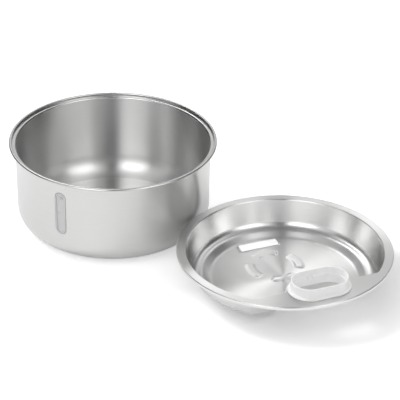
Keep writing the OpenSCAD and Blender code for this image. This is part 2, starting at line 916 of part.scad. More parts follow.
// hollow cover with slots that run over its sides and round to its end
module intake_grille() {
    rows = floor((grille_h - slot_margin) / slot_pitch);
    inner_h = grille_h - 2 * grille_t;
    inner_w = grille_w - 2 * grille_t;
    color("#3b4045")
        at_pump()
            difference() {
                union() {
                    x_box(grille_x, [grille_h, grille_w, grille_l], body_r);
                    slider_rails();
                }
                x_box(grille_x - grille_t, [inner_h, inner_w, grille_l], body_r - grille_t);
                for (k = [0 : rows - 1], s = [-1, 1])
                    translate([grille_x + slot_from, s > 0 ? grille_w / 2 - slot_wrap
                        : -grille_w / 2 - over, axis_z + (k - (rows - 1) / 2) * slot_pitch - slot_w / 2])
                        cube([grille_l - slot_from + over, slot_wrap + over, slot_w]);
                // the window that the slider covers
                translate([grille_x + grille_l - grille_t - over, -slider_window / 2,
                    axis_z - slider_h / 2 + window_edge])
                    cube([grille_t + 2 * over, slider_window, slider_h - 2 * window_edge]);
            }
}

slider_l = 9;
slider_h = 10;
slider_t = 1.4;
slider_window = 8;
slider_travel = 5;
window_edge = 2;
rail_l = slider_l + 2 * slider_travel + 1;
rail_t = 1.2;
rail_sunk = 0.4;
hook_t = 0.7;
hook_w = 1.6;
hook_over = 0.9;        // how far the hooks reach over the slider

module slider_rails() {
    y = (slider_travel - rail_l) / 2;
    out = slider_t + 2 * seat;
    for (s = [-1, 1]) {
        translate([grille_x + grille_l - rail_sunk, y,
            axis_z + s * (slider_h / 2 + seat + rail_t / 2) - rail_t / 2])
            cube([rail_sunk + out + hook_t, rail_l, rail_t]);
        translate([grille_x + grille_l + out, y,
            axis_z + s * (slider_h / 2 - hook_over + hook_w / 2) - hook_w / 2])
            cube([hook_t, rail_l, hook_w]);
    }
}

ridge_w = 2;
ridge_rise = 2.4;
rib_w = 0.8;
rib_rise = 1.2;
rib_at = 2.6;

module flow_slider() {
    ridge_h = slider_h - 2 * window_edge;
    rib_h = slider_h - 2 * rib_at;
    color("#d8dadb")
        at_pump()
            translate([grille_x + grille_l + seat, 0, axis_z]) {
                translate([0, -slider_l / 2, -slider_h / 2])
                    cube([slider_t, slider_l, slider_h]);
                // the thumb ridge between two low ribs
                translate([0, -ridge_w / 2, -ridge_h / 2])
                    cube([slider_t + ridge_rise, ridge_w, ridge_h]);
                for (s = [-1, 1])
                    translate([0, s * rib_at - rib_w / 2, -rib_h / 2])
                        cube([slider_t + rib_rise, rib_w, rib_h]);
            }
}

sponge_end = 0.8;

module intake_sponge() {
    room = 2 * (grille_t + seat);
    color("#2f3133")
        at_pump()
            x_box(grille_x + sponge_end, [grille_h - room, grille_w - room,
                grille_l - grille_t - 2 * sponge_end], body_r - grille_t);
}

// ---- filter ----

tub_gap = 1.3;          // gap between the pump's top and the tub
tub_z = pump_z + pump_h + tub_gap;
tub_top = tub_z + tub_h;
tub_ease = 1;
socket_t = 2.2;
socket_rise = 1.4;
ledge_size = [4, 3];
ledge_x = 1.3 * tub_a;
ledge_y = 0.72 * (tub_end_r - tub_t);
lid_t = 2;
lid_ease = 0.6;
lid_wall = 1.6;
lid_skirt = 4;
lid_r = tub_end_r + seat + lid_wall;
spout_wall = 2.4;       // distance of the spout from the tub's wall
spout_y = -(tub_end_r - tub_t - spout_r - spout_wall);
stub_r = 4.2;
stub_h = 6;
stub_bore = 2.8;

module filter_tub() {
    color("#eef0ee")
        at_pump()
            difference() {
                union() {
                    translate([0, 0, tub_z + tub_ease])
                        oval(tub_a, tub_end_r, tub_h - tub_ease);
                    translate([0, 0, tub_z])
                        oval(tub_a, tub_end_r - tub_ease, tub_ease);
                }
                difference() {
                    translate([0, 0, tub_z + tub_t])
                        oval(tub_a, tub_end_r - tub_t, tub_h);
                    translate([nipple_x, 0, tub_z])
                        cylinder(h = nipple_z - tub_z + socket_rise, r = nipple_r + socket_t, $fn = 64);
                    // ledge blocks that carry the cartridge
                    for (x = [-1, 1], y = [-1, 1])
                        translate([x * ledge_x - ledge_size[0] / 2, y * ledge_y - ledge_size[1] / 2, tub_z])
                            cube([ledge_size[0], ledge_size[1], cartridge_z - tub_z - close_gap]);
                }
                translate([nipple_x, 0, tub_z - over])
                    cylinder(h = tub_h, r = nipple_r + run_gap, $fn = 64);
            }
}

cartridge_rise = 9.6;
cartridge_z = tub_z + cartridge_rise;
cartridge_gap = 0.5;
cartridge_r = tub_end_r - tub_t - cartridge_gap;
cartridge_t = 1.2;
pads_h = foam_h + carbon_h;
rim_over = 0.2;         // how far the frame's rim stands above the pads
cartridge_top = cartridge_z + cartridge_t + pads_h + rim_over;
floor_edge = 1;
floor_rib = 1.4;
floor_pitch = 8;
floor_ribs = 3;         // ribs on each side of the middle one

// the open frame that holds both pads: a rim with a ribbed floor
module cartridge_frame() {
    color("#3f6f8f")
        at_pump()
            translate([0, 0, cartridge_z])
                difference() {
                    oval(tub_a, cartridge_r, cartridge_top - cartridge_z);
                    translate([0, 0, cartridge_t])
                        oval(tub_a, cartridge_r - cartridge_t, pads_h + over);
                    difference() {
                        translate([0, 0, -over])
                            oval(tub_a, cartridge_r - cartridge_t - floor_edge, 3 * over);
                        for (k = [-floor_ribs : floor_ribs])
                            translate([k * floor_pitch - floor_rib / 2, -tub_end_r, -over])
                                cube([floor_rib, 2 * tub_end_r, 3 * over]);
                        translate([-2 * tub_end_r, -floor_rib / 2, -over])
                            cube([4 * tub_end_r, floor_rib, 3 * over]);
                    }
                }
}

module foam_pad() {
    color("#5c6166")
        at_pump()
            translate([0, 0, cartridge_z + cartridge_t])
                oval(tub_a, cartridge_r - cartridge_t - seat, foam_h);
}

module carbon_pad() {
    color("#1f2022")
        at_pump()
            translate([0, 0, cartridge_z + cartridge_t + foam_h])
                oval(tub_a, cartridge_r - cartridge_t - seat, carbon_h);
}

foot_ring = 1.8;        // width of the ring round the spout's foot
foot_ring_h = 0.8;
grip = [20, 2.4, 2.6];
grip_y = 8;
grip_sunk = 0.4;

module filter_lid() {
    lid_z = tub_top + seat;
    color("#eef0ee")
        at_pump()
            difference() {
                union() {
                    translate([0, 0, lid_z])
                        oval(tub_a, lid_r, lid_t - lid_ease);
                    translate([0, 0, lid_z])
                        oval(tub_a, lid_r - lid_ease, lid_t);
                    translate([0, 0, lid_z - lid_skirt])
                        oval_ring(tub_a, lid_r, lid_r - lid_wall, lid_skirt);
                    translate([0, spout_y, lid_z])
                        cylinder(h = lid_t + stub_h, r = stub_r, $fn = 48);
                    translate([0, spout_y, lid_z])
                        cylinder(h = lid_t + foot_ring_h, r = spout_r + foot_ring, $fn = 48);
                    // the cartridge's keeper: a low rim that the frame clips into
                    translate([0, 0, cartridge_top])
                        oval_ring(tub_a, cartridge_r, cartridge_r - cartridge_t,
                            lid_z + over / 2 - cartridge_top);
                    // a finger grip across the lid
                    translate([-grip[0] / 2, grip_y, lid_z + lid_t - grip_sunk])
                        cube(grip);
                }
                translate([0, spout_y, lid_z - over])
                    cylinder(h = stub_h + lid_t + 2 * over, r = stub_bore, $fn = 40);
            }
}

neck_in = 0.5;
flare = 0.3;
flare_h = 1.5;
flare_from = 5;
mouth_wall = 0.9;
mouth_d = 4;
bead_h = 3;
bead_step = 1;
soft_bend = 1;
small_bend = 0.4;
long_bend = 3;

// soft spout pressed over the lid's stub, its mouth flared
module spout() {
    base_z = tub_top + seat + lid_t + foot_ring_h;
    top_z = tub_top + seat + lid_t + spout_h;
    color("#dfe3e4")
        at_pump()
            translate([0, spout_y, 0])
                rotate_extrude($fn = 64)
                    polygon(rounded([[stub_r + run_gap, base_z, 0], [spout_r, base_z, 0],
                        [spout_r, base_z + bead_h, soft_bend],
                        [spout_r - neck_in, base_z + bead_h + bead_step, soft_bend],
                        [spout_r - neck_in, top_z - flare_from, long_bend],
                        [spout_r + flare, top_z - flare_h, soft_bend],
                        [spout_r + flare, top_z, small_bend],
                        [stub_bore + mouth_wall, top_z, small_bend],
                        [stub_bore, top_z - mouth_d, soft_bend], [stub_bore, base_z + stub_h, 0],
                        [stub_r + run_gap, base_z + stub_h, 0]], 4));
}

reservoir_bowl();
level_window();
window_gasket();
window_frame();
window_nuts();
drinking_tray();
tray_collar();
collar_gasket();
collar_lock_ring();
pump_housing();
volute_cover();
volute_seal();
rotor_shaft();
shaft_bushes();
suction_feet();
cable_gland();
rotor_magnet();
impeller();
intake_grille();
intake_sponge();
flow_slider();
nipple_seal();
filter_tub();
filter_lid();
cartridge_frame();
foam_pad();
carbon_pad();
spout();
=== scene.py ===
"""Dresses the steel pet water fountain: a brushed bowl with a level window, the drinking tray
that stands beside it, and the pump and filter stack inside the bowl.  Metres, +Z up."""

import json
import math

import bpy
import numpy as np
from bpy.props import FloatProperty, FloatVectorProperty, IntProperty, PointerProperty
from mathutils import Matrix, Vector

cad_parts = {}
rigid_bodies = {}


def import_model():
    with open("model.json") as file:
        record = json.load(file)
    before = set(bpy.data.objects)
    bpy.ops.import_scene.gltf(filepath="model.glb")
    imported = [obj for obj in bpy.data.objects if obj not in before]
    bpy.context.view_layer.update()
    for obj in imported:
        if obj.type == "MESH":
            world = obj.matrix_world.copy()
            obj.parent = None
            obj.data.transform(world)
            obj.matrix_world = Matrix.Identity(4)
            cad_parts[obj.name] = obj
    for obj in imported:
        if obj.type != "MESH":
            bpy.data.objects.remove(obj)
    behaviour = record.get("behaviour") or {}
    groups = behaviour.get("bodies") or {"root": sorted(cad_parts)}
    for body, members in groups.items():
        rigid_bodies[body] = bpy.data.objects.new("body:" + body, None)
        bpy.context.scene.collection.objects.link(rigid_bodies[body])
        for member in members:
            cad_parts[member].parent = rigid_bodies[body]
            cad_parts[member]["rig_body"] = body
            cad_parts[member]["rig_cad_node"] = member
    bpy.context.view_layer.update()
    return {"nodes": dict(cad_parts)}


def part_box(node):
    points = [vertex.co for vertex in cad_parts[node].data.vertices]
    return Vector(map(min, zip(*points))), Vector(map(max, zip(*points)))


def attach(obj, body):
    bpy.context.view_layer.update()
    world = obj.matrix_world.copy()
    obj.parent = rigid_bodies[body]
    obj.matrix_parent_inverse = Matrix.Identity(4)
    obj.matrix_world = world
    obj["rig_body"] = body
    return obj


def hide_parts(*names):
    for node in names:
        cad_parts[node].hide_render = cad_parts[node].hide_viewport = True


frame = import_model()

bl_info = {
    "name": "Pet Water Fountain",
    "version": (1, 0, 0),
    "blender": (4, 5, 0),
    "location": "View3D > Sidebar > Fountain",
    "description": "Models and finishes a steel pet water fountain round its packed solids",
    "category": "Object",
}

MM = 0.001
SHEET = 0.8 * MM
FULL_TURN = 2 * math.pi
WELD = 2e-6  # corners nearer than this are merged
STRAIGHT = 1e-3  # a turn of fewer radians than this is no corner
BROAD = 10 * MM  # a wider corner is drawn in more steps


# ---- the sizes and colours that a user would change ----


def length(name, about, value):
    """A length property in metres."""
    return FloatProperty(name=name, description=about, default=value, min=0.0, unit="LENGTH", precision=5)


def angle(name, about, degrees):
    """An angle property, given in degrees and kept in radians."""
    return FloatProperty(name=name, description=about, default=math.radians(degrees), unit="ROTATION")


def colour(name, about, value):
    """A colour property."""
    return FloatVectorProperty(
        name=name, description=about, default=value, subtype="COLOR", size=3, min=0.0, max=1.0
    )


class BowlSizes(bpy.types.PropertyGroup):
    """Sizes of the reservoir bowl"""

    height: length("Height", "Height of the bowl to the top of its rim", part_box("reservoir_bowl")[1].z)
    rim: length("Rim", "Outer radius of the rim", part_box("reservoir_bowl")[1].x)
    wall: length("Wall", "Outer radius of the wall below the rim", 122 * MM)
    draft: length("Draft", "How much narrower the wall is at its foot", 0.9 * MM)
    corner: length("Corner", "Outer radius between wall and base", 27 * MM)
    lip: length("Lip", "Width of the raised lip round the rim", 4 * MM)
    ledge: length("Ledge", "Drop from the lip to the ledge inside it", 3.5 * MM)
    hem: length("Hem", "Height of the turned-down edge", 2.5 * MM)
    facets: IntProperty(name="Facets", description="Faces round the bowl", default=288, min=64, max=512)


class WindowSizes(bpy.types.PropertyGroup):
    """Sizes of the level window in the bowl's wall"""

    width: length("Width", "Width of the window", 15.6 * MM)
    height: length("Height", "Height of the window over its round ends", 58 * MM)
    middle: length("Middle", "Height of the window's middle above the base", 66.05 * MM)
    direction: angle("Direction", "Where the window faces, from +X", -119.2)
    proud: length("Proud", "How far the lens stands out of the wall", 0.6 * MM)


class TraySizes(bpy.types.PropertyGroup):
    """Sizes of the drinking tray"""

    depth: length("Depth", "From the flange's top to the floor", 41 * MM)
    mouth: length("Mouth", "Radius of the pan's mouth at the flange", 120.44 * MM)
    flange: length("Flange", "Outer radius of the flange", 131.3 * MM)
    lip: length("Lip", "Height of the flange's turned-down edge", 4 * MM)
    draft: angle("Draft", "Lean of the pan's wall", 19.6)
    shoulder: length("Shoulder", "Depth of the shoulder round the pan's floor", 32.7 * MM)
    pan: length("Pan", "Radius of the shoulder's inner edge", 98.44 * MM)
    direction: angle("Direction", "Where the tray stands, from +X", -33)
    reach: length("Reach", "Distance of the tray's middle from the bowl's", 254.1 * MM)
    turn: angle("Turn", "Turn of the tray about its middle", 23)
    chord: length("Deck Edge", "Distance of the deck's straight edge from the middle", 89 * MM)
    lobe: length("Lobe", "Radius of the deck's round lobe", 27 * MM)
    facets: IntProperty(name="Facets", description="Faces round the tray", default=352, min=96, max=512)


class LouverSizes(bpy.types.PropertyGroup):
    """Sizes of the drain louver and the raised pads on the pan's floor"""

    span: length("Length", "Length of the slit", 56 * MM)
    reach: length("Reach", "Distance of the slit from the tray's middle", 70.5 * MM)
    width: length("Width", "From slit to back edge", 15 * MM)
    rise: length("Rise", "Rise of the lip above the floor", 3.4 * MM)
    ring_at: length("Ring Place", "Distance of the pads' ring from the tray's middle", 27 * MM)
    ring: length("Ring", "Middle radius of the ring of pads", 30 * MM)
    pad_width: length("Pad Width", "Width of a pad", 12 * MM)
    pad_rise: length("Pad Rise", "Rise of a pad above the floor", 1.2 * MM)
    pad_arc: angle("Pad Arc", "Arc of a pad", 62)


class CollarSizes(bpy.types.PropertyGroup):
    """Sizes of the oval collar on the deck"""

    reach: length("Reach", "Distance of the collar's middle from the tray's", 96.5 * MM)
    half: length("Half Length", "Half the distance between the round ends' middles", 13.8 * MM)
    end: length("End", "Radius of the round ends", 21.5 * MM)
    height: length("Height", "Height above the deck", 14.5 * MM)
    wall: length("Wall", "Thickness of the wall", 2.6 * MM)
    flange: length("Flange", "Width of the base flange", 3.6 * MM)


class Finishes(bpy.types.PropertyGroup):
    """Colours of the finishes"""

    steel: colour("Steel", "Satin stainless steel", (0.69, 0.69, 0.685))
    steel_tray: colour("Tray Steel", "Turned stainless steel", (0.75, 0.75, 0.745))
    milky: colour("Milky Plastic", "The collar's milky plastic", (0.9, 0.905, 0.9))
    shell: colour("Pump Plastic", "The pump's dark plastic", (0.045, 0.05, 0.056))
    cover: colour("Cover Plastic", "Volute cover and grille", (0.06, 0.066, 0.073))
    tub: colour("Tub Plastic", "Filter tub and lid", (0.8, 0.825, 0.82))
    cartridge: colour("Cartridge", "The cartridge's frame", (0.07, 0.19, 0.3))
    rubber: colour("Rubber", "Dark rubber", (0.035, 0.036, 0.038))
    seal: colour("Seal", "Red-brown seal rubber", (0.3, 0.05, 0.035))


class Studio(bpy.types.PropertyGroup):
    """Lights and camera of the picture"""

    daylight: FloatProperty(name="Daylight", description="Strength of the even light", default=0.74, min=0.0)
    mirror: FloatProperty(name="Mirror", description="Brightness that metal mirrors", default=0.84, min=0.0)
    lens: FloatProperty(name="Lens", description="Focal length, 36 mm sensor", default=180.2, unit="CAMERA")


# ---- outlines ----


def turn_between(a, b):
    """The signed angle from one direction to the next."""
    return math.atan2(a.x * b.y - a.y * b.x, a.dot(b))


def bent(points, steps=6, corner_steps=18):
    """The outline through (x, y, radius) points, with each corner rounded to its radius."""
    flat = [Vector((p[0], p[1])) for p in points]
    out = []
    for i, here in enumerate(flat):
        radius = points[i][2] if len(points[i]) > 2 and 0 < i < len(flat) - 1 else 0
        turn = 0
        if radius > 0:
            a, b = (here - flat[i - 1]).normalized(), (flat[i + 1] - here).normalized()
            turn = turn_between(a, b)
        if abs(turn) < STRAIGHT:
            out.append(here)
            continue
        start = here - a * radius * math.tan(abs(turn) / 2)
        side = Vector((-a.y, a.x)) * math.copysign(radius, turn)
        count = corner_steps if radius > BROAD else steps
        for k in range(count + 1):
            out.append(start + side + Matrix.Rotation(turn * k / count, 2) @ -side)
    return out


def beside(points, gap):
    """The (x, y, radius) outline moved to its left, with each corner kept round its own centre."""
    flat = [Vector((p[0], p[1])) for p in points]
    last = len(flat) - 1
    moved = []
    for i, here in enumerate(flat):
        a = (here - flat[i - 1]).normalized() if i > 0 else (flat[1] - flat[0]).normalized()
        b = (flat[i + 1] - here).normalized() if i < last else a
        n, m = Vector((-a.y, a.x)), Vector((-a.y - b.y, a.x + b.x)).normalized()
        p, r = here + m * gap / m.dot(n), points[i][2]
        moved.append((p.x, p.y, r - math.copysign(gap, turn_between(a, b)) if r > 0 else 0))
    return moved


# ---- modelling, as by hand ----


def added(name, data):
    """A new object in the scene."""
    obj = bpy.data.objects.new(name, data)
    bpy.context.scene.collection.objects.link(obj)
    return obj


def deselect():
    """Leaves edit mode and clears the selection."""
    if bpy.context.object and bpy.context.object.mode != "OBJECT":
        bpy.ops.object.mode_set(mode="OBJECT")
    bpy.ops.object.select_all(action="DESELECT")


def pick(obj, *others):
    """Selects these objects, the first of them active."""
    deselect()
    for o in (obj, *others):
        o.select_set(True)
    bpy.context.view_layer.objects.active = obj


def join(obj, *others):
    """Joins the others into obj."""
    pick(obj, *others)
    bpy.ops.object.join()


def settle(obj):
    """Applies an object's place, so that it sits at the origin."""
    pick(obj)
    bpy.ops.object.transform_apply(location=True, rotation=True, scale=True)
    return obj


def put(obj, matrix):
    """Moves an object's mesh to where it belongs."""
    obj.matrix_world = matrix @ obj.matrix_world
    return settle(obj)


def modify(obj, kind, **settings):
    """Adds a modifier and applies it."""
    pick(obj)
    made = obj.modifiers.new(kind.title(), kind)
    for key, value in settings.items():
        setattr(made, key, value)
    bpy.ops.object.modifier_apply(modifier=made.name)
    return obj


def smooth(obj, degrees):
    """Shades an object smooth, with its sharp edges kept."""
    pick(obj)
    bpy.ops.object.shade_smooth_by_angle(angle=math.radians(degrees))
    return obj


def spun(name, points, facets, close=False):
    """Draws an (r, z) outline corner by corner and spins it about Z."""
    deselect()
    bpy.ops.mesh.primitive_plane_add(size=MM)
    obj = bpy.context.object
    obj.name = name
    bpy.ops.object.mode_set(mode="EDIT")
    bpy.ops.mesh.select_mode(type="VERT")
    bpy.ops.mesh.select_all(action="SELECT")
    bpy.ops.mesh.merge(type="CENTER")
    here = points[0]
    bpy.ops.transform.translate(value=(here[0], 0, here[1]))
    for there in points[1:] + (points[:1] if close else []):
        step = (there[0] - here[0], 0, there[1] - here[1])
        bpy.ops.mesh.extrude_region_move(TRANSFORM_OT_translate={"value": step})
        here = there
    bpy.ops.mesh.select_all(action="SELECT")
    bpy.ops.mesh.spin(steps=facets, angle=FULL_TURN, center=(0, 0, 0), axis=(0, 0, 1))
    bpy.ops.mesh.select_all(action="SELECT")
    bpy.ops.mesh.remove_doubles(threshold=WELD)
    return face_out(obj)


def oval(name, points, half, facets, close=False):
    """A spun outline drawn out along X to two round ends, half either side of the middle."""
    obj = spun(name, points, facets, close)
    obj.data.transform(Matrix.Rotation(math.pi / facets, 4, "Z"))
    clear = 0.0001 * MM
    for side in (-1, 1):
        select_where(obj, lambda p, n: p.x * side > clear, "VERT")
        bpy.ops.transform.translate(value=(side * half, 0, 0))
        bpy.ops.object.mode_set(mode="OBJECT")
    return obj


def select_where(obj, test, kind):
    """Selects, in edit mode, the corners or edges whose place and direction pass a test."""
    pick(obj)
    bpy.ops.object.mode_set(mode="EDIT")
    bpy.ops.mesh.select_mode(type=kind)
    bpy.ops.mesh.select_all(action="DESELECT")
    bpy.ops.object.mode_set(mode="OBJECT")
    if kind == "VERT":
        for v in obj.data.vertices:
            v.select = test(v.co, v.normal)
    else:
        for e in obj.data.edges:
            a, b = (obj.data.vertices[i].co for i in e.vertices)
            e.select = test((a + b) / 2, b - a)
    bpy.ops.object.mode_set(mode="EDIT")


def block(name, size, place, radius=0.0, edge=0.0, steps=6):
    """A box with round upright corners and eased edges; place is the middle of its underside."""
    deselect()
    bpy.ops.mesh.primitive_cube_add(size=1, location=(0, 0, size[2] / 2), scale=size)
    obj = settle(bpy.context.object)
    obj.name = name
    if radius:
        select_where(obj, lambda p, d: abs(d.z) > 0.9 * size[2], "EDGE")
        bpy.ops.mesh.bevel(offset=radius, segments=steps, affect="EDGES")
        bpy.ops.object.mode_set(mode="OBJECT")
    if edge:
        modify(obj, "BEVEL", width=edge, segments=3, limit_method="ANGLE", angle_limit=math.radians(50))
    return put(obj, Matrix.Translation(place))


def face_out(obj, up=False):
    """Makes a mesh's normals agree: outward, or upward on an open sheet."""
    pick(obj)
    bpy.ops.object.mode_set(mode="EDIT")
    bpy.ops.mesh.select_all(action="SELECT")
    bpy.ops.mesh.normals_make_consistent(inside=False)
    bpy.ops.object.mode_set(mode="OBJECT")
    if up and max(obj.data.polygons, key=lambda f: f.area).normal.z < 0:
        obj.data.flip_normals()
    return obj


def cut(obj, *cutters):
    """Cuts the cutters out of obj and removes them."""
    for cutter in cutters:
        modify(obj, "BOOLEAN", operation="DIFFERENCE", solver="EXACT", object=cutter)
        bpy.data.objects.remove(cutter)


def eased(node, width, name):
    """A copy of a CAD node with its loose triangles merged and its edges eased."""
    source = frame["nodes"][node]
    obj = source.copy()
    obj.data = source.data.copy()
    obj.parent = None
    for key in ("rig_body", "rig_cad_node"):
        del obj[key]
    obj.name = name
    bpy.context.scene.collection.objects.link(obj)
    obj.matrix_world = Matrix.Identity(4)
    obj.data.materials.clear()
    pick(obj)
    bpy.ops.object.mode_set(mode="EDIT")
    bpy.ops.mesh.select_all(action="SELECT")
    bpy.ops.mesh.remove_doubles(threshold=WELD)
    bpy.ops.mesh.dissolve_limited(angle_limit=math.radians(1.5))
    bpy.ops.object.mode_set(mode="OBJECT")
    if width:
        limits = {"limit_method": "ANGLE", "angle_limit": math.radians(38), "use_clamp_overlap": True}
        modify(obj, "BEVEL", width=width, segments=2, **limits)
    return smooth(obj, 30)


def sheet_mesh(name, points, closed=True):
    """A sheet from rows of points, joined by quads and closed round if asked."""
    rows, count = len(points), len(points[0])
    corners = [tuple(p) for row in points for p in row]
    width = count if closed else count - 1
    faces = [
        (r * count + i, r * count + (i + 1) % count, (r + 1) * count + (i + 1) % count, (r + 1) * count + i)
        for r in range(rows - 1)
        for i in range(width)
    ]
    data = bpy.data.meshes.new(name)
    data.from_pydata(corners, [], faces)
    return added(name, data)


SHELF = {}  # the materials that are made, by their short names


def finish_piece(obj, body, slot, *materials, node):
    """Gives a piece its materials and its body, and hides the CAD node that it stands for; slot is not used.
    """
    obj.data.materials.clear()
    for name in materials:
        obj.data.materials.append(SHELF[name])
    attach(obj, body)
    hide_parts(node)


def ease_all(*rows):
    """Eases and finishes CAD nodes: node, width of its edges in mm, name, body, slot and material."""
    for node, width, name, body, slot, material in rows:
        finish_piece(eased(node, width * MM, name), body, slot, material, node=node)


def room_of(node):
    """The size of a CAD node's box and the middle of its underside."""
    low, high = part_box(node)
    return high - low, ((low.x + high.x) / 2, (low.y + high.y) / 2, low.z)


def pad_out(obj, body, material, node):
    """Finishes a soft block that fills its pocket."""
    finish_piece(obj, body, material, material, node=node)
    smooth(obj, 40)


def paint(**materials):
    """Gives CAD nodes their own materials, as node=material."""
    for node, name in materials.items():
        data = frame["nodes"][node].data
        data.materials.clear()
        data.materials.append(SHELF[name])


# ---- shader maths ----


def feed(tree, slot, value):
    """Links a wire to a node's socket, or sets the socket's value."""
    if isinstance(value, Wire):
        tree.links.new(value.socket, slot)
    else:
        slot.default_value = value


def math_node(operation, swapped=False):
    """A method that adds a Math node of that operation."""
    return lambda wire, other: wire.through(operation, other, swapped=swapped)


class Wire:
    """A shader socket that takes part in sums, each of which adds its Math node."""

    def __init__(self, tree, socket):
        self.tree, self.socket = tree, socket

    def through(self, operation, *others, swapped=False):
        """Adds a Math node of this value and others."""
        made = self.tree.nodes.new("ShaderNodeMath")
        made.operation = operation
        for slot, value in zip(made.inputs, [*others, self] if swapped else [self, *others]):
            feed(self.tree, slot, value)
        return Wire(self.tree, made.outputs[0])

    __add__ = __radd__ = math_node("ADD")
    __sub__, __rsub__ = math_node("SUBTRACT"), math_node("SUBTRACT", swapped=True)
    __mul__ = __rmul__ = math_node("MULTIPLY")
    __truediv__ = math_node("DIVIDE")

    def clamped(self):
        """This value held between 0 and 1."""
        return self.through("MAXIMUM", 0.0).through("MINIMUM", 1.0)

    def step(self, low, high):
        """A soft step from 0 at low to 1 at high."""
        t = ((self - low) / (high - low)).clamped()
        return t * t * (3 - 2 * t)


class Finish:
    """A material, or a world, under construction."""

    def __init__(self, name, world=False):
        self.material = (bpy.data.worlds if world else bpy.data.materials).new(name)
        self.material.use_nodes = True
        self.tree = self.material.node_tree
        self.tree.nodes.clear()

    def add(self, kind, settings=None, sockets=None, out=0):
        """Adds a node: first its settings, then the values or links of its sockets."""
        made = self.tree.nodes.new(kind)
        for key, value in (settings or {}).items():
            setattr(made, key, value)
        for key, value in (sockets or {}).items():
            feed(self.tree, made.inputs[key], value)
        return Wire(self.tree, made.outputs[out]) if len(made.outputs) else None

    def place(self, centre=(0, 0, 0)):
        """Object coordinates in millimetres about a centre, as x, y, z."""
        here = self.add("ShaderNodeTexCoord", out="Object")
        moved = self.add(
            "ShaderNodeMapping",
            {"vector_type": "TEXTURE"},
            {"Vector": here, "Location": centre, "Scale": (MM, MM, MM)},
        )
        return moved, *self.parts(moved)

    def parts(self, vector):
        """A vector's x, y and z."""
        first = self.add("ShaderNodeSeparateXYZ", None, {0: vector})
        return [Wire(self.tree, s) for s in first.socket.node.outputs]

    def rays(self, *kinds):
        """Whether a ray is of each kind, as 1 or 0."""
        return [self.add("ShaderNodeLightPath", out=f"Is {kind} Ray") for kind in kinds]

    def vector(self, x, y, z):
        """A vector of three values."""
        return self.add("ShaderNodeCombineXYZ", None, {"X": x, "Y": y, "Z": z})

    def noise(self, where, scale=1.0, detail=2.0, rough=0.5):
        """Noise from 0 to 1."""
        sockets = {"Vector": where, "Scale": scale, "Detail": detail, "Roughness": rough}
        return self.add("ShaderNodeTexNoise", None, sockets)

    def blend(self, factor, low, high):
        """A colour from low to high."""
        sockets = {0: factor, 6: (*low, 1), 7: (*high, 1)}
        return self.add("ShaderNodeMix", {"data_type": "RGBA"}, sockets, out=2)

    def bump(self, height, strength, distance):
        """A normal bent by a height in millimetres."""
        return self.add(
            "ShaderNodeBump", None, {"Height": height, "Strength": strength, "Distance": distance * MM}
        )

    def surface(self, **sockets):
        """Ends the material with the main shader; names use _ for spaces."""
        named = {key.replace("_", " "): value for key, value in sockets.items()}
        shader = self.add("ShaderNodeBsdfPrincipled", None, named)
        self.add("ShaderNodeOutputMaterial", None, {"Surface": shader})
        return self.material


def shade(colour, amount):
    """A colour made lighter or darker."""
    return tuple(max(0.0, min(1.0, c * amount)) for c in colour)


def steel(name, colour, centre, roughness, grain, lines, blur, along):
    """Stainless steel with fine lines round a centre, set out along the height (z) or the radius (r)."""
    f = Finish(name)
    _, x, y, z = f.place(centre)
    radius = (x * x + y * y + 1e-3).through("SQRT")
    round_x, round_y = x / radius, y / radius
    across = z if along == "z" else radius
    fine = f.noise(f.vector(across * 5.5, round_x * 9, round_y * 9), 1.0, 3.0, 0.65)
    broad = f.noise(f.vector(across * 0.9, round_x * 2.2, round_y * 2.2))
    smudge = f.noise(f.vector(x * 0.012, y * 0.012, z * 0.012))
    mixed = (fine - 0.5) * 0.65 + (broad - 0.5) * 0.5
    return f.surface(
        Base_Color=f.blend((mixed * grain + 0.5).clamped(), shade(colour, 0.93), shade(colour, 1.05)),
        Metallic=1.0,
        Roughness=(mixed * 0.10 * grain + (smudge - 0.5) * 0.06 + roughness).clamped(),
        Anisotropic=blur,
        Anisotropic_Rotation=0.25,
        Normal=f.bump(mixed, lines, 0.05),
    )


def moulded(name, colour, roughness, grain, cell=0.9, depth=0.03, others=None):
    """Moulded plastic or rubber with a fine texture and slight unevenness of sheen."""
    f = Finish(name)
    where, *_ = f.place()
    fine = f.noise(where, cell, 3.0, 0.6)
    broad = f.noise(where, 0.06)
    mixed = (fine * 0.35 + broad * 0.65).clamped()
    return f.surface(
        Base_Color=f.blend(mixed, shade(colour, 0.9), shade(colour, 1.08)),
        Roughness=((fine - 0.5) * 0.16 + (broad - 0.5) * 0.1 + roughness).clamped(),
        Normal=f.bump(fine, grain, depth),
        **(others or {}),
    )


def porous(name, colour, cell, depth):
    """Open-cell foam: painted shade in the pores and painted light on the strands between them."""
    f = Finish(name)
    where, *_ = f.place()
    sockets = {"Vector": where, "Scale": cell}
    cells = f.add("ShaderNodeTexVoronoi", {"feature": "DISTANCE_TO_EDGE"}, sockets)
    fuzz = f.noise(where, 2.6, 3.0, 0.7)
    strand = (1 - cells.step(0.03, 0.32)) * 0.75 + fuzz * 0.25
    return f.surface(
        # painted shade and light: the pores a quarter of the foam's colour, the strands half again as bright
        Base_Color=f.blend(strand.clamped(), shade(colour, 0.25), shade(colour, 1.5)),
        Roughness=0.92,
        Normal=f.bump(strand, 0.9, depth),
    )


def glow(weight, depth):
    """Sockets that let light into a plastic, to a depth in metres."""
    return {"Subsurface_Weight": weight, "Subsurface_Radius": (1.0, 1.0, 1.0), "Subsurface_Scale": depth}


CLEAR = {"Transmission_Weight": 0.35, "IOR": 1.49}
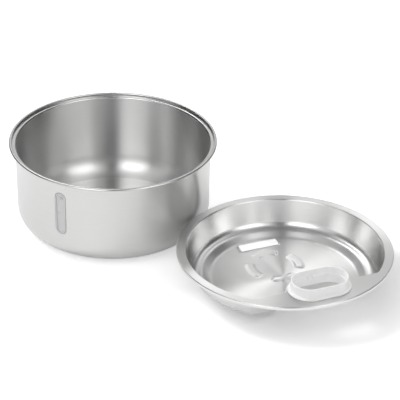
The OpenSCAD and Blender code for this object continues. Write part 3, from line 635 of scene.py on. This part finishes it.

# short name, name, part, painted light or shade (how much lighter or darker this region's steel is made than
# the part's steel), roughness, grain, lines, blur across, lines along
STEELS = (
    ("bowl_out", "bowl_satin", "bowl", 0.91, 0.3, 1.0, 0.4, 0.75, "z"),
    ("bowl_in", "bowl_polished", "bowl", 1.01, 0.35, 0.35, 0.12, 1.0, "z"),
    ("bowl_curve", "bowl_curve", "bowl", 0.98, 0.34, 0.4, 0.15, 0.92, "z"),
    ("bowl_rim", "bowl_rim", "bowl", 0.8, 0.24, 0.4, 0.15, 0.3, "r"),
    ("bowl_floor", "bowl_turned", "bowl", 1.2, 0.32, 0.9, 0.4, 0.9, "r"),
    ("tray_wall", "tray_satin", "tray", 1.0, 0.24, 0.8, 0.4, 0.55, "z"),
    ("tray_floor", "tray_turned", "tray", 1.0, 0.42, 0.9, 0.35, 0.95, "r"),
    ("tray_step", "tray_step", "tray", 0.94, 0.31, 0.8, 0.35, 0.86, "z"),
    ("nut", "nut_steel", "bowl", 1.0, 0.3, 0.6, 0.3, 0.0, "z"),
)

# short name, name, colour or its setting, roughness, grain; then, where they aren't the usual ones,
# the grain's scale, its depth in mm, and other sockets
MOULDED = (
    ("milky", "milky_plastic", "milky", 0.34, 0.12, 0.5, 0.02, glow(0.22, 0.0015)),
    ("tub", "tub_plastic", "tub", 0.3, 0.12, 0.5, 0.02, glow(0.2, 0.002)),
    ("shell", "pump_plastic", "shell", 0.46, 0.5, 1.6, 0.05),
    ("cover", "cover_plastic", "cover", 0.36, 0.3, 1.2, 0.04),
    ("cartridge", "cartridge_plastic", "cartridge", 0.38, 0.2),
    ("slider", "slider_plastic", (0.6, 0.63, 0.65), 0.35, 0.2),
    ("frame", "clamp_plastic", (0.8, 0.8, 0.78), 0.42, 0.3),
    ("rubber", "dark_rubber", "rubber", 0.6, 0.5, 1.8, 0.04),
    ("foot", "foot_rubber", (0.1, 0.107, 0.112), 0.5, 0.4, 1.5, 0.04),
    ("seal", "seal_rubber", "seal", 0.5, 0.3),
    ("pale_rubber", "gasket_rubber", (0.62, 0.64, 0.63), 0.5, 0.3),
    ("spout", "spout_silicone", (0.72, 0.76, 0.76), 0.42, 0.2, 0.8, 0.03, glow(0.4, 0.003)),
    ("ceramic", "ground_ceramic", (0.82, 0.8, 0.73), 0.22, 0.1),
    ("magnet", "sintered_magnet", (0.1, 0.1, 0.11), 0.42, 0.5, 2.2, 0.05, {"Metallic": 0.7}),
    ("impeller", "impeller_plastic", (0.82, 0.82, 0.79), 0.3, 0.15),
    ("lens", "clear_lens", (0.8, 0.805, 0.805), 0.12, 0.04, 0.2, 0.02, CLEAR),
)

# short name, name, colour, pores to a millimetre, depth of the pores in mm
POROUS = (
    ("foam", "filter_foam", (0.15, 0.16, 0.17), 1.3, 0.5),
    ("sponge", "intake_foam", (0.05, 0.055, 0.06), 0.9, 0.5),
    ("carbon", "carbon_felt", (0.03, 0.03, 0.032), 2.4, 0.25),
)


# ---- operators ----


class FOUNTAIN_OT_finishes(bpy.types.Operator):
    """Make the materials"""

    bl_idname = "fountain.finishes"
    bl_label = "Make Finishes"

    def execute(self, context):
        c = context.scene.finishes
        middle = tuple(tray_place(context.scene.tray_sizes).translation)
        parts = {"bowl": (c.steel, (0, 0, 0)), "tray": (c.steel_tray, middle)}
        # each region's steel is the part's steel made lighter or darker: painted light and shade
        for key, name, part, painted_tone, *rest in STEELS:
            base, centre = parts[part]
            SHELF[key] = steel(name, shade(base, painted_tone), centre, *rest)
        for key, name, kind, *rest in MOULDED:
            painted = tuple(getattr(c, kind)) if isinstance(kind, str) else kind
            SHELF[key] = moulded(name, painted, *rest)
        for key, name, *rest in POROUS:
            SHELF[key] = porous(name, *rest)
        return {"FINISHED"}


def window_cutter(w):
    """A bar with round ends, to cut the window."""
    end, reach = w.width / 2, 20 * MM
    outline = [(0, -reach), (end, -reach), (end, reach), (0, reach)]
    bar = oval("window_cutter", outline, w.height / 2 - end, 48)
    return put(bar, at_window(w, 120 * MM))


def at_window(w, out):
    """The place of the window: +Z out of the bowl, +X up."""
    return (
        Matrix.Rotation(w.direction, 4, "Z")
        @ Matrix.Translation((out, 0, w.middle))
        @ Matrix.Rotation(math.pi / 2, 4, "Y")
        @ Matrix.Rotation(math.pi, 4, "Z")
    )


def bowl_outline(b):
    """The bowl's outer face, from the middle of its base to the turned-down edge."""
    foot = b.wall - b.draft
    ledge = b.height - b.ledge - SHEET
    step = b.rim - b.lip + SHEET
    return [
        (0, 0, 0), (foot, 0, b.corner), (b.wall, ledge, 1.2 * MM), (step, ledge, 1.2 * MM),
        (step, b.height - SHEET, 0.6 * MM), (b.rim - SHEET, b.height - SHEET, 1.0 * MM),
        (b.rim - SHEET, b.height - b.hem, 0),
    ]


class FOUNTAIN_OT_bowl(bpy.types.Operator):
    """Spin the reservoir bowl from its sheet outline and cut the window"""

    bl_idname = "fountain.bowl"
    bl_label = "Add Bowl"

    def execute(self, context):
        b, w = context.scene.bowl_sizes, context.scene.window_sizes
        under = bowl_outline(b)
        bowl = spun("bowl_shell", bent(under) + bent(beside(under, SHEET))[::-1], b.facets)
        cut(bowl, window_cutter(w))
        stud_at = w.height / 2 + 5.7 * MM
        for side in (-1, 1):
            outline = [(0, -7 * MM), (1.5 * MM, -7 * MM, 0.3 * MM), (1.5 * MM, 0), (0, 0)]
            stud = spun("stud", bent(outline, 3), 24)
            put(stud, at_window(w, b.wall - 0.5 * MM) @ Matrix.Translation((side * stud_at, 0, 0)))
            join(bowl, stud)
        steels = ("bowl_out", "bowl_in", "bowl_floor", "bowl_curve", "bowl_rim")
        finish_piece(bowl, "bowl", "bowl_steel", *steels, node="reservoir_bowl")
        # the bowl's regions take their steels, each with its painted light or shade: the rim darker, the
        # floor lighter
        ledge, floor = b.height - b.ledge, 2 * SHEET
        for face in bowl.data.polygons:
            z, normal = face.center.z, face.normal
            outward = Vector((*face.center.xy, 0)).normalized().dot(normal)
            inside = z < ledge - 2 * MM and (outward < -0.2 or normal.z > 0.3)
            within = "bowl_floor" if z < floor else "bowl_curve" if z < b.corner else "bowl_in"
            kind = "bowl_rim" if z > ledge - 1.5 * MM else within if inside else "bowl_out"
            face.material_index = steels.index(kind)
        smooth(bowl, 28)
        return {"FINISHED"}


class FOUNTAIN_OT_window(bpy.types.Operator):
    """Mould the clear lens to the wall's curve, with its gasket, clamp frame and nuts"""

    bl_idname = "fountain.window"
    bl_label = "Add Level Window"

    def execute(self, context):
        b, w = context.scene.bowl_sizes, context.scene.window_sizes
        end, face, flange = w.width / 2 - 0.55 * MM, SHEET + w.proud, w.width / 2 + 3 * MM
        back, sunk = -2.2 * MM, face - 1.3 * MM
        outline = [
            (0, back), (flange / 2, back), (flange, back, 0.3 * MM), (flange, -SHEET, 0.3 * MM),
            (end, -SHEET, 0.3 * MM), (end, face, 0.5 * MM), (end - 1.7 * MM, face, 0.25 * MM),
            (end - 2.0 * MM, sunk, 0.2 * MM), (end / 2, sunk), (0, sunk),
        ]
        lens = oval("level_lens", bent(outline, 4), w.height / 2 - w.width / 2, 64)
        section = [(1.1 * MM, 0), (2.0 * MM, 0), (1.9 * MM, 0.9 * MM), (1.2 * MM, 0.9 * MM)]
        eye_at = (w.height / 2 - 8 * MM, 0.9 * MM, sunk)
        eye = put(spun("eye", section, 32, close=True), Matrix.Translation(eye_at))
        tick_at = (0, -2.6 * MM, sunk - 0.3 * MM)
        tick = block("level_tick", (1.0 * MM, 4.2 * MM, 1.0 * MM), tick_at, 0.3 * MM, 0.15 * MM, 3)
        join(lens, eye, tick)
        wall = b.wall - 0.4 * MM - SHEET
        turn = Matrix.Rotation(w.direction, 4, "Z")
        for v in lens.data.vertices:
            way, out = v.co.y / wall, wall + v.co.z
            v.co = turn @ Vector((out * math.cos(way), out * math.sin(way), w.middle + v.co.x))
        finish_piece(face_out(lens), "bowl", "clear_lens", "lens", node="level_window")
        smooth(lens, 35)
        ease_all(
            ("window_frame", 0.3, "window_clamp", "bowl", "white_plastic", "frame"),
            ("window_nuts", 0.15, "cap_nuts", "bowl", "nut_steel", "nut"),
        )
        paint(window_gasket="rubber")
        return {"FINISHED"}


def tray_place(t):
    """Where the tray stands: the flange's top plane at z = 0, the deck towards -Y."""
    middle = (t.reach * math.cos(t.direction), t.reach * math.sin(t.direction), t.depth)
    return Matrix.Translation(middle) @ Matrix.Rotation(t.turn, 4, "Z")


def soft_max(a, b, width):
    """The larger of two heights, with their crossing rounded over a width."""
    h = np.clip(0.5 + 0.5 * (a - b) / width, 0, 1)
    return b + (a - b) * h + width * h * (1 - h)


class TrayForm:
    """The height of the tray's upper face at any place, in millimetres."""

    mouth_bend = 1.8  # radius where the wall bends over into flange and deck
    edge_bend = 1.3  # radius where the flange turns down

    def __init__(self, t, l, c):
        self.slope = math.tan(t.draft)
        self.floor = -(t.depth - SHEET) / MM
        mouth, shoulder, pan = t.mouth / MM, -t.shoulder / MM, t.pan / MM
        line = [
            (0, self.floor, 0),
            (pan + 1.5 - (shoulder - self.floor) * 1.45, self.floor, 14.0),
            (pan + 1.5, shoulder, 8.0),
            (mouth + shoulder * self.slope, shoulder, 7.5),
            (mouth + 40 * self.slope, 40, 0),
        ]
        drawn = bent([(x * MM, y * MM, r * MM) for x, y, r in line], 12, 12)
        self.line_r, self.line_z = (np.array([p[k] for p in drawn]) / MM for k in (0, 1))
        self.outer, self.lip = t.flange / MM, t.lip / MM
        self.chord, self.lobe = t.chord / MM, t.lobe / MM
        self.collar, self.half = c.reach / MM, c.half / MM
        self.ring_at, self.ring, self.pad_w = l.ring_at / MM, l.ring / MM, l.pad_width / MM
        self.pad_rise, self.pad_arc = l.pad_rise / MM, l.pad_arc

    def flank(self, x, y):
        """Height of the pan's own face, carried on upwards past the flange."""
        round_part = np.interp(np.hypot(x, y), self.line_r, self.line_z)
        edge = -(y + self.chord)
        lobe = self.lobe - np.hypot(np.maximum(np.abs(x) - self.half, 0), y + self.collar)
        inside = soft_max(edge, lobe, 5.0)
        return soft_max(round_part, inside / self.slope, 7.0)

    def pads(self, x, y):
        """Rise of the four arc pads."""
        r, way = np.hypot(x, y - self.ring_at), np.arctan2(y - self.ring_at, x)
        off = np.abs((way + math.pi / 4) % (math.pi / 2) - math.pi / 4)
        side = self.pad_w / 2 - np.abs(r - self.ring)
        end = (self.pad_arc / 2 - off) * self.ring
        t = np.clip((-soft_max(-side, -end, 3.0) + 1.0) / 4.2, 0, 1)
        return self.pad_rise * t * t * (3 - 2 * t)

    def height(self, x, y):
        """Height of the upper face: the flank bent over into the flange, with the pads."""
        w = self.flank(x, y)
        bend = self.mouth_bend
        reach = bend * math.tan((math.pi / 2 - math.atan(self.slope)) / 2)
        d = w * self.slope
        arc = -bend + np.sqrt(np.maximum(bend**2 - np.clip(reach - d, 0, bend) ** 2, 0))
        low = -reach * math.cos(math.atan(self.slope))
        z = np.where(w < low, w, np.where(d > reach, 0.0, arc))
        return z + self.pads(x, y)

    def crossing(self, level, directions):
        """How far from the pads' ring each ray meets the flank at a level."""
        near, far = np.full(len(directions), 20.0), np.full(len(directions), 165.0)
        for _ in range(40):
            mid = (near + far) / 2
            above = self.flank(mid * np.cos(directions), self.ring_at + mid * np.sin(directions)) > level
            far, near = np.where(above, mid, far), np.where(above, near, mid)
        return (near + far) / 2

    def rim(self, radius, directions):
        """How far from the pads' ring each ray meets a circle round the tray's middle."""
        s = np.sin(directions) * self.ring_at
        return -s + np.sqrt(s * s + radius**2 - self.ring_at**2)

    def directions(self, count):
        """Rays whose ends are evenly spaced along the mouth's outline."""
        dense = np.linspace(0, FULL_TURN, 7201)
        far = self.crossing(0.0, dense)
        x, y = far * np.cos(dense), far * np.sin(dense)
        run = np.concatenate([[0], np.cumsum(np.hypot(np.diff(x), np.diff(y)) + 0.35 * 90 * np.diff(dense))])
        return np.interp(np.linspace(0, run[-1], count, endpoint=False), run, dense)

    def rings(self, count):
        """Rows of points from the turned-down edge over flange and wall to the pads' middle."""
        rays = self.directions(count)
        edge, foot = self.crossing(0.0, rays), self.crossing(self.floor + 0.02, rays) - 0.6
        rows, bend = [], self.edge_bend
        # the turned-down edge and the flange
        for z in (-self.lip, -self.lip / 2, -bend):
            rows.append((self.rim(self.outer, rays), z))
        for k in range(1, 6):
            a = k / 5 * math.pi / 2
            rows.append((self.rim(self.outer - bend + bend * math.cos(a), rays), -bend + bend * math.sin(a)))
        flat = self.rim(self.outer - bend - 0.4, rays)
        rows.append((flat, 0.0))
        # over the bend, down the flank and over the floor
        for out in (9, 6.5, 4.6, 3.2, 2.2, 1.6, 1.1, 0.7, 0.35, 0.0, -0.2, -0.4, -0.7, -1.1):
            rows.append((np.minimum(edge + out, flat - 0.02 * (10 - out)), None))
        start = edge - 1.1
        for k in range(1, 41):
            rows.append((start + (foot - start) * k / 40, None))
        for k in range(1, 15):
            rows.append((foot + (45 - foot) * k / 14, None))
        # over the raised pads to their middle
        for r in [42, 39.5, *np.arange(38, 21.5, -0.8), 20, 16, 11, 6, 2.5]:
            rows.append((np.full(count, float(r)), None))
        points = []
        for r, z in rows:
            x, y = r * np.cos(rays), self.ring_at + r * np.sin(rays)
            heights = self.height(x, y) if z is None else np.full(count, z)
            points.append(np.stack([x, y, heights], 1) * MM)
        return points


class FOUNTAIN_OT_tray(bpy.types.Operator):
    """Form the drinking tray's sheet: flange, wall, shoulder, raised deck, pads, collar hole and louver"""

    bl_idname = "fountain.tray"
    bl_label = "Add Tray"

    def execute(self, context):
        scene = context.scene
        t, l, c = scene.tray_sizes, scene.louver_sizes, scene.collar_sizes
        tray = sheet_mesh("tray_sheet", TrayForm(t, l, c).rings(t.facets))
        select_where(tray, lambda p, n: math.hypot(p.x, p.y - l.ring_at) < 3 * MM, "VERT")
        bpy.ops.mesh.edge_face_add()
        face_out(tray, up=True)
        modify(tray, "SOLIDIFY", thickness=SHEET, offset=-1, use_even_offset=True, use_quality_normals=True)
        hole = [(0, -3 * MM), (c.end - 0.1 * MM, -3 * MM), (c.end - 0.1 * MM, 3 * MM), (0, 3 * MM)]
        cutter = put(oval("hole", hole, c.half, 96), Matrix.Translation((0, -c.reach, 0)))
        slit = block(
            "slit", (l.span - 1.6 * MM, l.width - SHEET, 6 * MM),
            (0, l.reach + (l.width - SHEET) / 2, -t.depth - 2 * MM), 3.2 * MM,
        )
        cut(tray, cutter, slit)
        join(tray, put(louver_hood(l), Matrix.Translation((0, 0, -t.depth + SHEET))))
        put(tray, tray_place(t))
        steels = ("tray_wall", "tray_floor", "tray_step")
        finish_piece(tray, "tray", "tray_steel", *steels, node="drinking_tray")
        middle = tray_place(t).translation
        # the tray's regions take their steels, each with its painted light or shade: the step darker
        floor, pads, step, flange = 1.4 * MM, 4 * MM, 13 * MM, t.depth - 1.2 * MM
        for face in tray.data.polygons:
            z, out = face.center.z, (face.center.xy - middle.xy).length
            level = z < floor or z > flange or (z < pads and out < 66 * MM)
            stepped = z < step and out > 87 * MM
            kind = "tray_floor" if level else "tray_step" if stepped else "tray_wall"
            face.material_index = steels.index(kind)
        smooth(tray, 28)
        return {"FINISHED"}


def louver_hood(l):
    """The pressed-up hood over the drain slit, closed at its back and ends."""
    half, deep, rise = l.span / 2 / MM, l.width / MM, l.rise / MM
    lip, corner, ramp = 1.4, 4, 11
    u, v = np.meshgrid(np.linspace(-1, 1, 61), np.linspace(0, 1, 15))
    x, y = u * half, v * deep
    ends, back = np.maximum(corner - half + np.abs(x), 0), np.maximum(corner - deep + y, 0)
    t = np.clip((corner - np.hypot(ends, back)) / 3, 0, 1)
    z = (lip + (rise - lip) * np.minimum(y / ramp, 1)) * t * t * (3 - 2 * t)
    rows = np.stack([x, y + l.reach / MM, z], 2) * MM
    hood = face_out(sheet_mesh("hood", rows, closed=False), up=True)
    return modify(hood, "SOLIDIFY", thickness=0.75 * MM, offset=-1, use_even_offset=True)


class FOUNTAIN_OT_collar(bpy.types.Operator):
    """Mould the oval collar, its gasket and the ring that locks it below the deck"""

    bl_idname = "fountain.collar"
    bl_label = "Add Collar"

    def execute(self, context):
        t, c = context.scene.tray_sizes, context.scene.collar_sizes
        inner, mouth, skirt = c.end - c.wall, c.end - 1.6 * MM, c.end - 0.4 * MM
        foot, base, out = 0.8 * MM, 2.8 * MM, c.end + c.flange
        outline = [
            (skirt, foot), (out, foot, 0.5 * MM), (out, base, 0.8 * MM), (c.end, base, 1.2 * MM),
            (c.end, c.height, 0.7 * MM), (mouth, c.height, 0.7 * MM), (mouth, 6.2 * MM, 0.5 * MM),
            (inner, 5.6 * MM, 0.5 * MM), (inner, -6 * MM, 0.4 * MM), (skirt, -6 * MM, 0.4 * MM),
        ]
        collar = oval("collar_moulding", bent(outline, 5), c.half, 96, close=True)
        for x in (-7, -0.5, 32):
            cut(collar, block("slit", (1.2 * MM, 8 * MM, 5 * MM), (x * MM, c.end - 1 * MM, base)))
        put(collar, tray_place(t) @ Matrix.Translation((0, -c.reach, 0)))
        finish_piece(collar, "tray", "milky_plastic", "milky", node="tray_collar")
        smooth(collar, 30)
        ease_all(("collar_lock_ring", 0.25, "lock_ring", "tray", "milky_plastic", "milky"))
        paint(collar_gasket="pale_rubber")
        return {"FINISHED"}


class FOUNTAIN_OT_pump(bpy.types.Operator):
    """Ease the pump's moulded pieces and finish what turns inside it"""

    bl_idname = "fountain.pump"
    bl_label = "Add Pump"

    def execute(self, context):
        ease_all(
            ("pump_housing", 0.5, "motor_housing", "bowl", "housing_plastic", "shell"),
            ("volute_cover", 0.4, "volute_housing", "bowl", "cover_plastic", "cover"),
            ("cable_gland", 0.25, "cord_gland", "bowl", "dark_rubber", "rubber"),
            ("intake_grille", 0.3, "grille_cover", "grille", "cover_plastic", "cover"),
            ("flow_slider", 0.2, "flow_shutter", "slider", "slider_plastic", "slider"),
        )
        paint(
            suction_feet="foot", rotor_shaft="ceramic", shaft_bushes="rubber", volute_seal="seal",
            nipple_seal="seal", rotor_magnet="magnet", impeller="impeller",
        )
        size, under = room_of("intake_sponge")
        sponge = block("intake_foam", tuple(size), under, edge=1.6 * MM)
        pad_out(sponge, "grille", "sponge", "intake_sponge")
        return {"FINISHED"}


class FOUNTAIN_OT_filter(bpy.types.Operator):
    """Mould the filter tub, its lid with the spout, and the cartridge with its pads"""

    bl_idname = "fountain.filter"
    bl_label = "Add Filter"

    def execute(self, context):
        ease_all(
            ("filter_tub", 0.35, "filter_tub_shell", "tub", "tub_plastic", "tub"),
            ("filter_lid", 0.35, "filter_lid_shell", "cartridge", "lid_plastic", "tub"),
            ("cartridge_frame", 0.2, "cartridge_cage", "cartridge", "cartridge_plastic", "cartridge"),
            ("spout", 0.0, "spout_tube", "cartridge", "soft_silicone", "spout"),
        )
        for material in ("foam", "carbon"):
            size, under = room_of(material + "_pad")
            end, tall, edge = size.y / 2, size.z, 0.9 * MM
            outline = [(0, 0), (end / 2, 0), (end, 0, edge), (end, tall, edge), (end / 2, tall), (0, tall)]
            pad = oval(material + "_block", bent(outline, 4), size.x / 2 - end, 64)
            put(pad, Matrix.Translation(under))
            pad_out(pad, "cartridge", material, material + "_pad")
        return {"FINISHED"}


# panels of the room round the set: middle and half width round (0 towards the camera, + to the
# right), low and high edge above the horizon, softness, all in degrees, and added brightness
PANELS = (
    (0, 181, 72, 91, 6, -0.6),
    (180, 95, 56, 76, 5, -0.45),
    (180, 70, -5, 18, 5, -0.2),
    (177, 7, 54, 90, 4, -0.3),
    (170, 7, 41, 54, 3, 1.2),
    (-162, 15, 36, 55, 4, 3.6),
    (154, 9, 34, 53, 4, 1.6),
    (4, 9.5, 19, 90, 2.0, -0.98),
    (-25, 18, 20, 60, 4, 2.9),
    (47, 18, 20, 60, 4, 2.2),
    (112, 38, -2, 50, 6, -0.95),
    (-112, 38, -2, 50, 6, -0.95),
)


class FOUNTAIN_OT_stage(bpy.types.Operator):
    """Set the floor, the even studio light, the lamps and the camera"""

    bl_idname = "fountain.stage"
    bl_label = "Set Stage"

    def execute(self, context):
        studio = context.scene.studio
        self.floor()
        self.surround(context, studio)
        self.lamps()
        self.camera(context, studio)
        return {"FINISHED"}

    def floor(self):
        """A pale floor that lifts to white for the camera, less so where the tray's shadow falls: a painted
        shadow, the lift cut by position round a point in front of and right of the tray's middle.
        """
        deselect()
        bpy.ops.mesh.primitive_plane_add(size=14, location=(0, 0, -0.05 * MM))
        floor = settle(bpy.context.object)
        floor.name = "studio_floor"
        f = Finish("studio_floor")
        camera, mirrored = f.rays("Camera", "Glossy")
        pale, lift, lift_in_painted_shadow = 0.93, 0.42, 0.28
        seen = f.add("ShaderNodeBsdfDiffuse", None, {"Color": (pale, pale, pale, 1)})
        lifted = f.add("ShaderNodeEmission", None, {"Color": (1, 1, 1, 1), "Strength": lift})
        both = f.add("ShaderNodeAddShader", None, {0: seen, 1: lifted})
        # painted shadow: within 105 mm of this point the floor gets only part of its lift, fading to the full
        # lift at 185 mm
        painted_shadow_middle = tray_place(bpy.context.scene.tray_sizes).translation + Vector((45, -20, 0)) * MM
        _, x, y, _ = f.place(tuple(painted_shadow_middle))
        away = (x * x + y * y).through("SQRT").step(105, 185)
        share = (camera * (away * (1 - lift_in_painted_shadow) + lift_in_painted_shadow) + mirrored * 0.4).clamped()
        mixed = f.add("ShaderNodeMixShader", None, {"Fac": share, 1: seen, 2: both})
        f.add("ShaderNodeOutputMaterial", None, {"Surface": mixed})
        floor.data.materials.append(f.material)

    def surround(self, context, studio):
        """White for the camera, an even grey for light, and a room of panels for metal to mirror."""
        f = Finish("studio_surround", world=True)
        context.scene.world = f.material
        camera, mirror, through = f.rays("Camera", "Glossy", "Transmission")
        even, shown, mirrored = (
            f.add("ShaderNodeBackground", None, {"Color": (1, 1, 1, 1), "Strength": strength})
            for strength in (studio.daylight, 1.0, self.panels(f) * studio.mirror)
        )
        first = f.add("ShaderNodeMixShader", None, {"Fac": mirror, 1: even, 2: mirrored})
        second = f.add("ShaderNodeMixShader", None, {"Fac": (camera + through).clamped(), 1: first, 2: shown})
        f.add("ShaderNodeOutputWorld", None, {"Surface": second})

    def panels(self, f):
        """Brightness of the room that metal mirrors: panels on a base, by degrees round and up."""
        x, y, z = f.parts(f.add("ShaderNodeTexCoord"))
        round_to = x.through("ARCTAN2", 0 - y) * math.degrees(1)
        up_to = z.through("ARCSINE") * math.degrees(1)
        level, darkest = up_to * 0 + 1, 0.02
        for middle, half, low, high, soft, amount in PANELS:
            off = (round_to - middle).through("WRAP", 180.0, -180.0).through("ABSOLUTE")
            side = 1 - off.step(half - soft, half + soft)
            tall = up_to.step(low - soft, low + soft) - up_to.step(high - soft, high + soft)
            level = level + side * tall * amount
        return level.through("MAXIMUM", darkest)

    def lamps(self):
        """Soft boxes round the set; power in watts, size and place in metres."""
        for name, power, size, place, aim in (
            ("key_box", 5, (1.3, 1.0), (-1.3, -1.0, 1.9), (0.1, -0.05, 0.05)),
            ("back_box", 31, (0.8, 0.8), (-1.7, 0.9, 1.9), (0.1, -0.05, 0.05)),
            ("side_box", 3, (0.8, 0.8), (1.9, 0.2, 1.2), (0.1, -0.1, 0.05)),
        ):
            lamp = bpy.data.lights.new(name, "AREA")
            lamp.shape, lamp.size, lamp.size_y, lamp.energy = "RECTANGLE", *size, power
            obj = added(name, lamp)
            obj.visible_glossy = False
            obj.location = place
            obj.rotation_mode = "QUATERNION"
            obj.rotation_quaternion = (Vector(aim) - Vector(place)).to_track_quat("-Z", "Y")

    def camera(self, context, studio):
        """The photograph's viewpoint, fitted to the rims of bowl and tray."""
        tilt, roll = math.radians(29.794), math.radians(0.91)
        ahead = Vector((0, math.cos(tilt), -math.sin(tilt)))
        side, up = Vector((1, 0, 0)), Vector((0, math.sin(tilt), math.cos(tilt)))
        right = side * math.cos(roll) + up * math.sin(roll)
        above = up * math.cos(roll) - side * math.sin(roll)
        place = Vector((0.105124, -2.203861, 1.294962)) + right * 4.5 * MM - above * 5.1 * MM
        data = bpy.data.cameras.new("studio_camera")
        data.sensor_width, data.lens = 36, studio.lens
        data.clip_start, data.clip_end = 0.05, 60
        obj = added("studio_camera", data)
        turned = Matrix((right, above, -ahead)).transposed().to_4x4()
        obj.matrix_world = Matrix.Translation(place) @ turned
        context.scene.camera = obj
        context.scene.view_settings.view_transform = "Standard"


GROUPS = {
    "bowl_sizes": BowlSizes, "window_sizes": WindowSizes, "tray_sizes": TraySizes,
    "louver_sizes": LouverSizes, "collar_sizes": CollarSizes, "finishes": Finishes, "studio": Studio,
}
OPERATORS = (
    FOUNTAIN_OT_finishes, FOUNTAIN_OT_bowl, FOUNTAIN_OT_window, FOUNTAIN_OT_tray, FOUNTAIN_OT_collar,
    FOUNTAIN_OT_pump, FOUNTAIN_OT_filter, FOUNTAIN_OT_stage,
)


class FOUNTAIN_PT_panel(bpy.types.Panel):
    """The fountain's sizes and steps"""

    bl_idname = "FOUNTAIN_PT_panel"
    bl_label = "Pet Water Fountain"
    bl_space_type = "VIEW_3D"
    bl_region_type = "UI"
    bl_category = "Fountain"

    def draw(self, context):
        for step in OPERATORS:
            self.layout.operator(step.bl_idname)
        for group in GROUPS:
            box = self.layout.box()
            settings = getattr(context.scene, group)
            box.label(text=group.replace("_", " ").title())
            for name in settings.__annotations__:
                box.prop(settings, name)


CLASSES = (*GROUPS.values(), *OPERATORS, FOUNTAIN_PT_panel)


def register():
    """Registers the classes and their settings."""
    for cls in CLASSES:
        bpy.utils.register_class(cls)
    for name, group in GROUPS.items():
        setattr(bpy.types.Scene, name, PointerProperty(type=group))


def unregister():
    """Takes them away again."""
    for name in GROUPS:
        delattr(bpy.types.Scene, name)
    for cls in reversed(CLASSES):
        bpy.utils.unregister_class(cls)


def main():
    """Builds the pieces in order."""
    register()
    for step in OPERATORS:
        group, name = step.bl_idname.split(".")
        getattr(getattr(bpy.ops, group), name)()


if __name__ == "__main__":
    main()
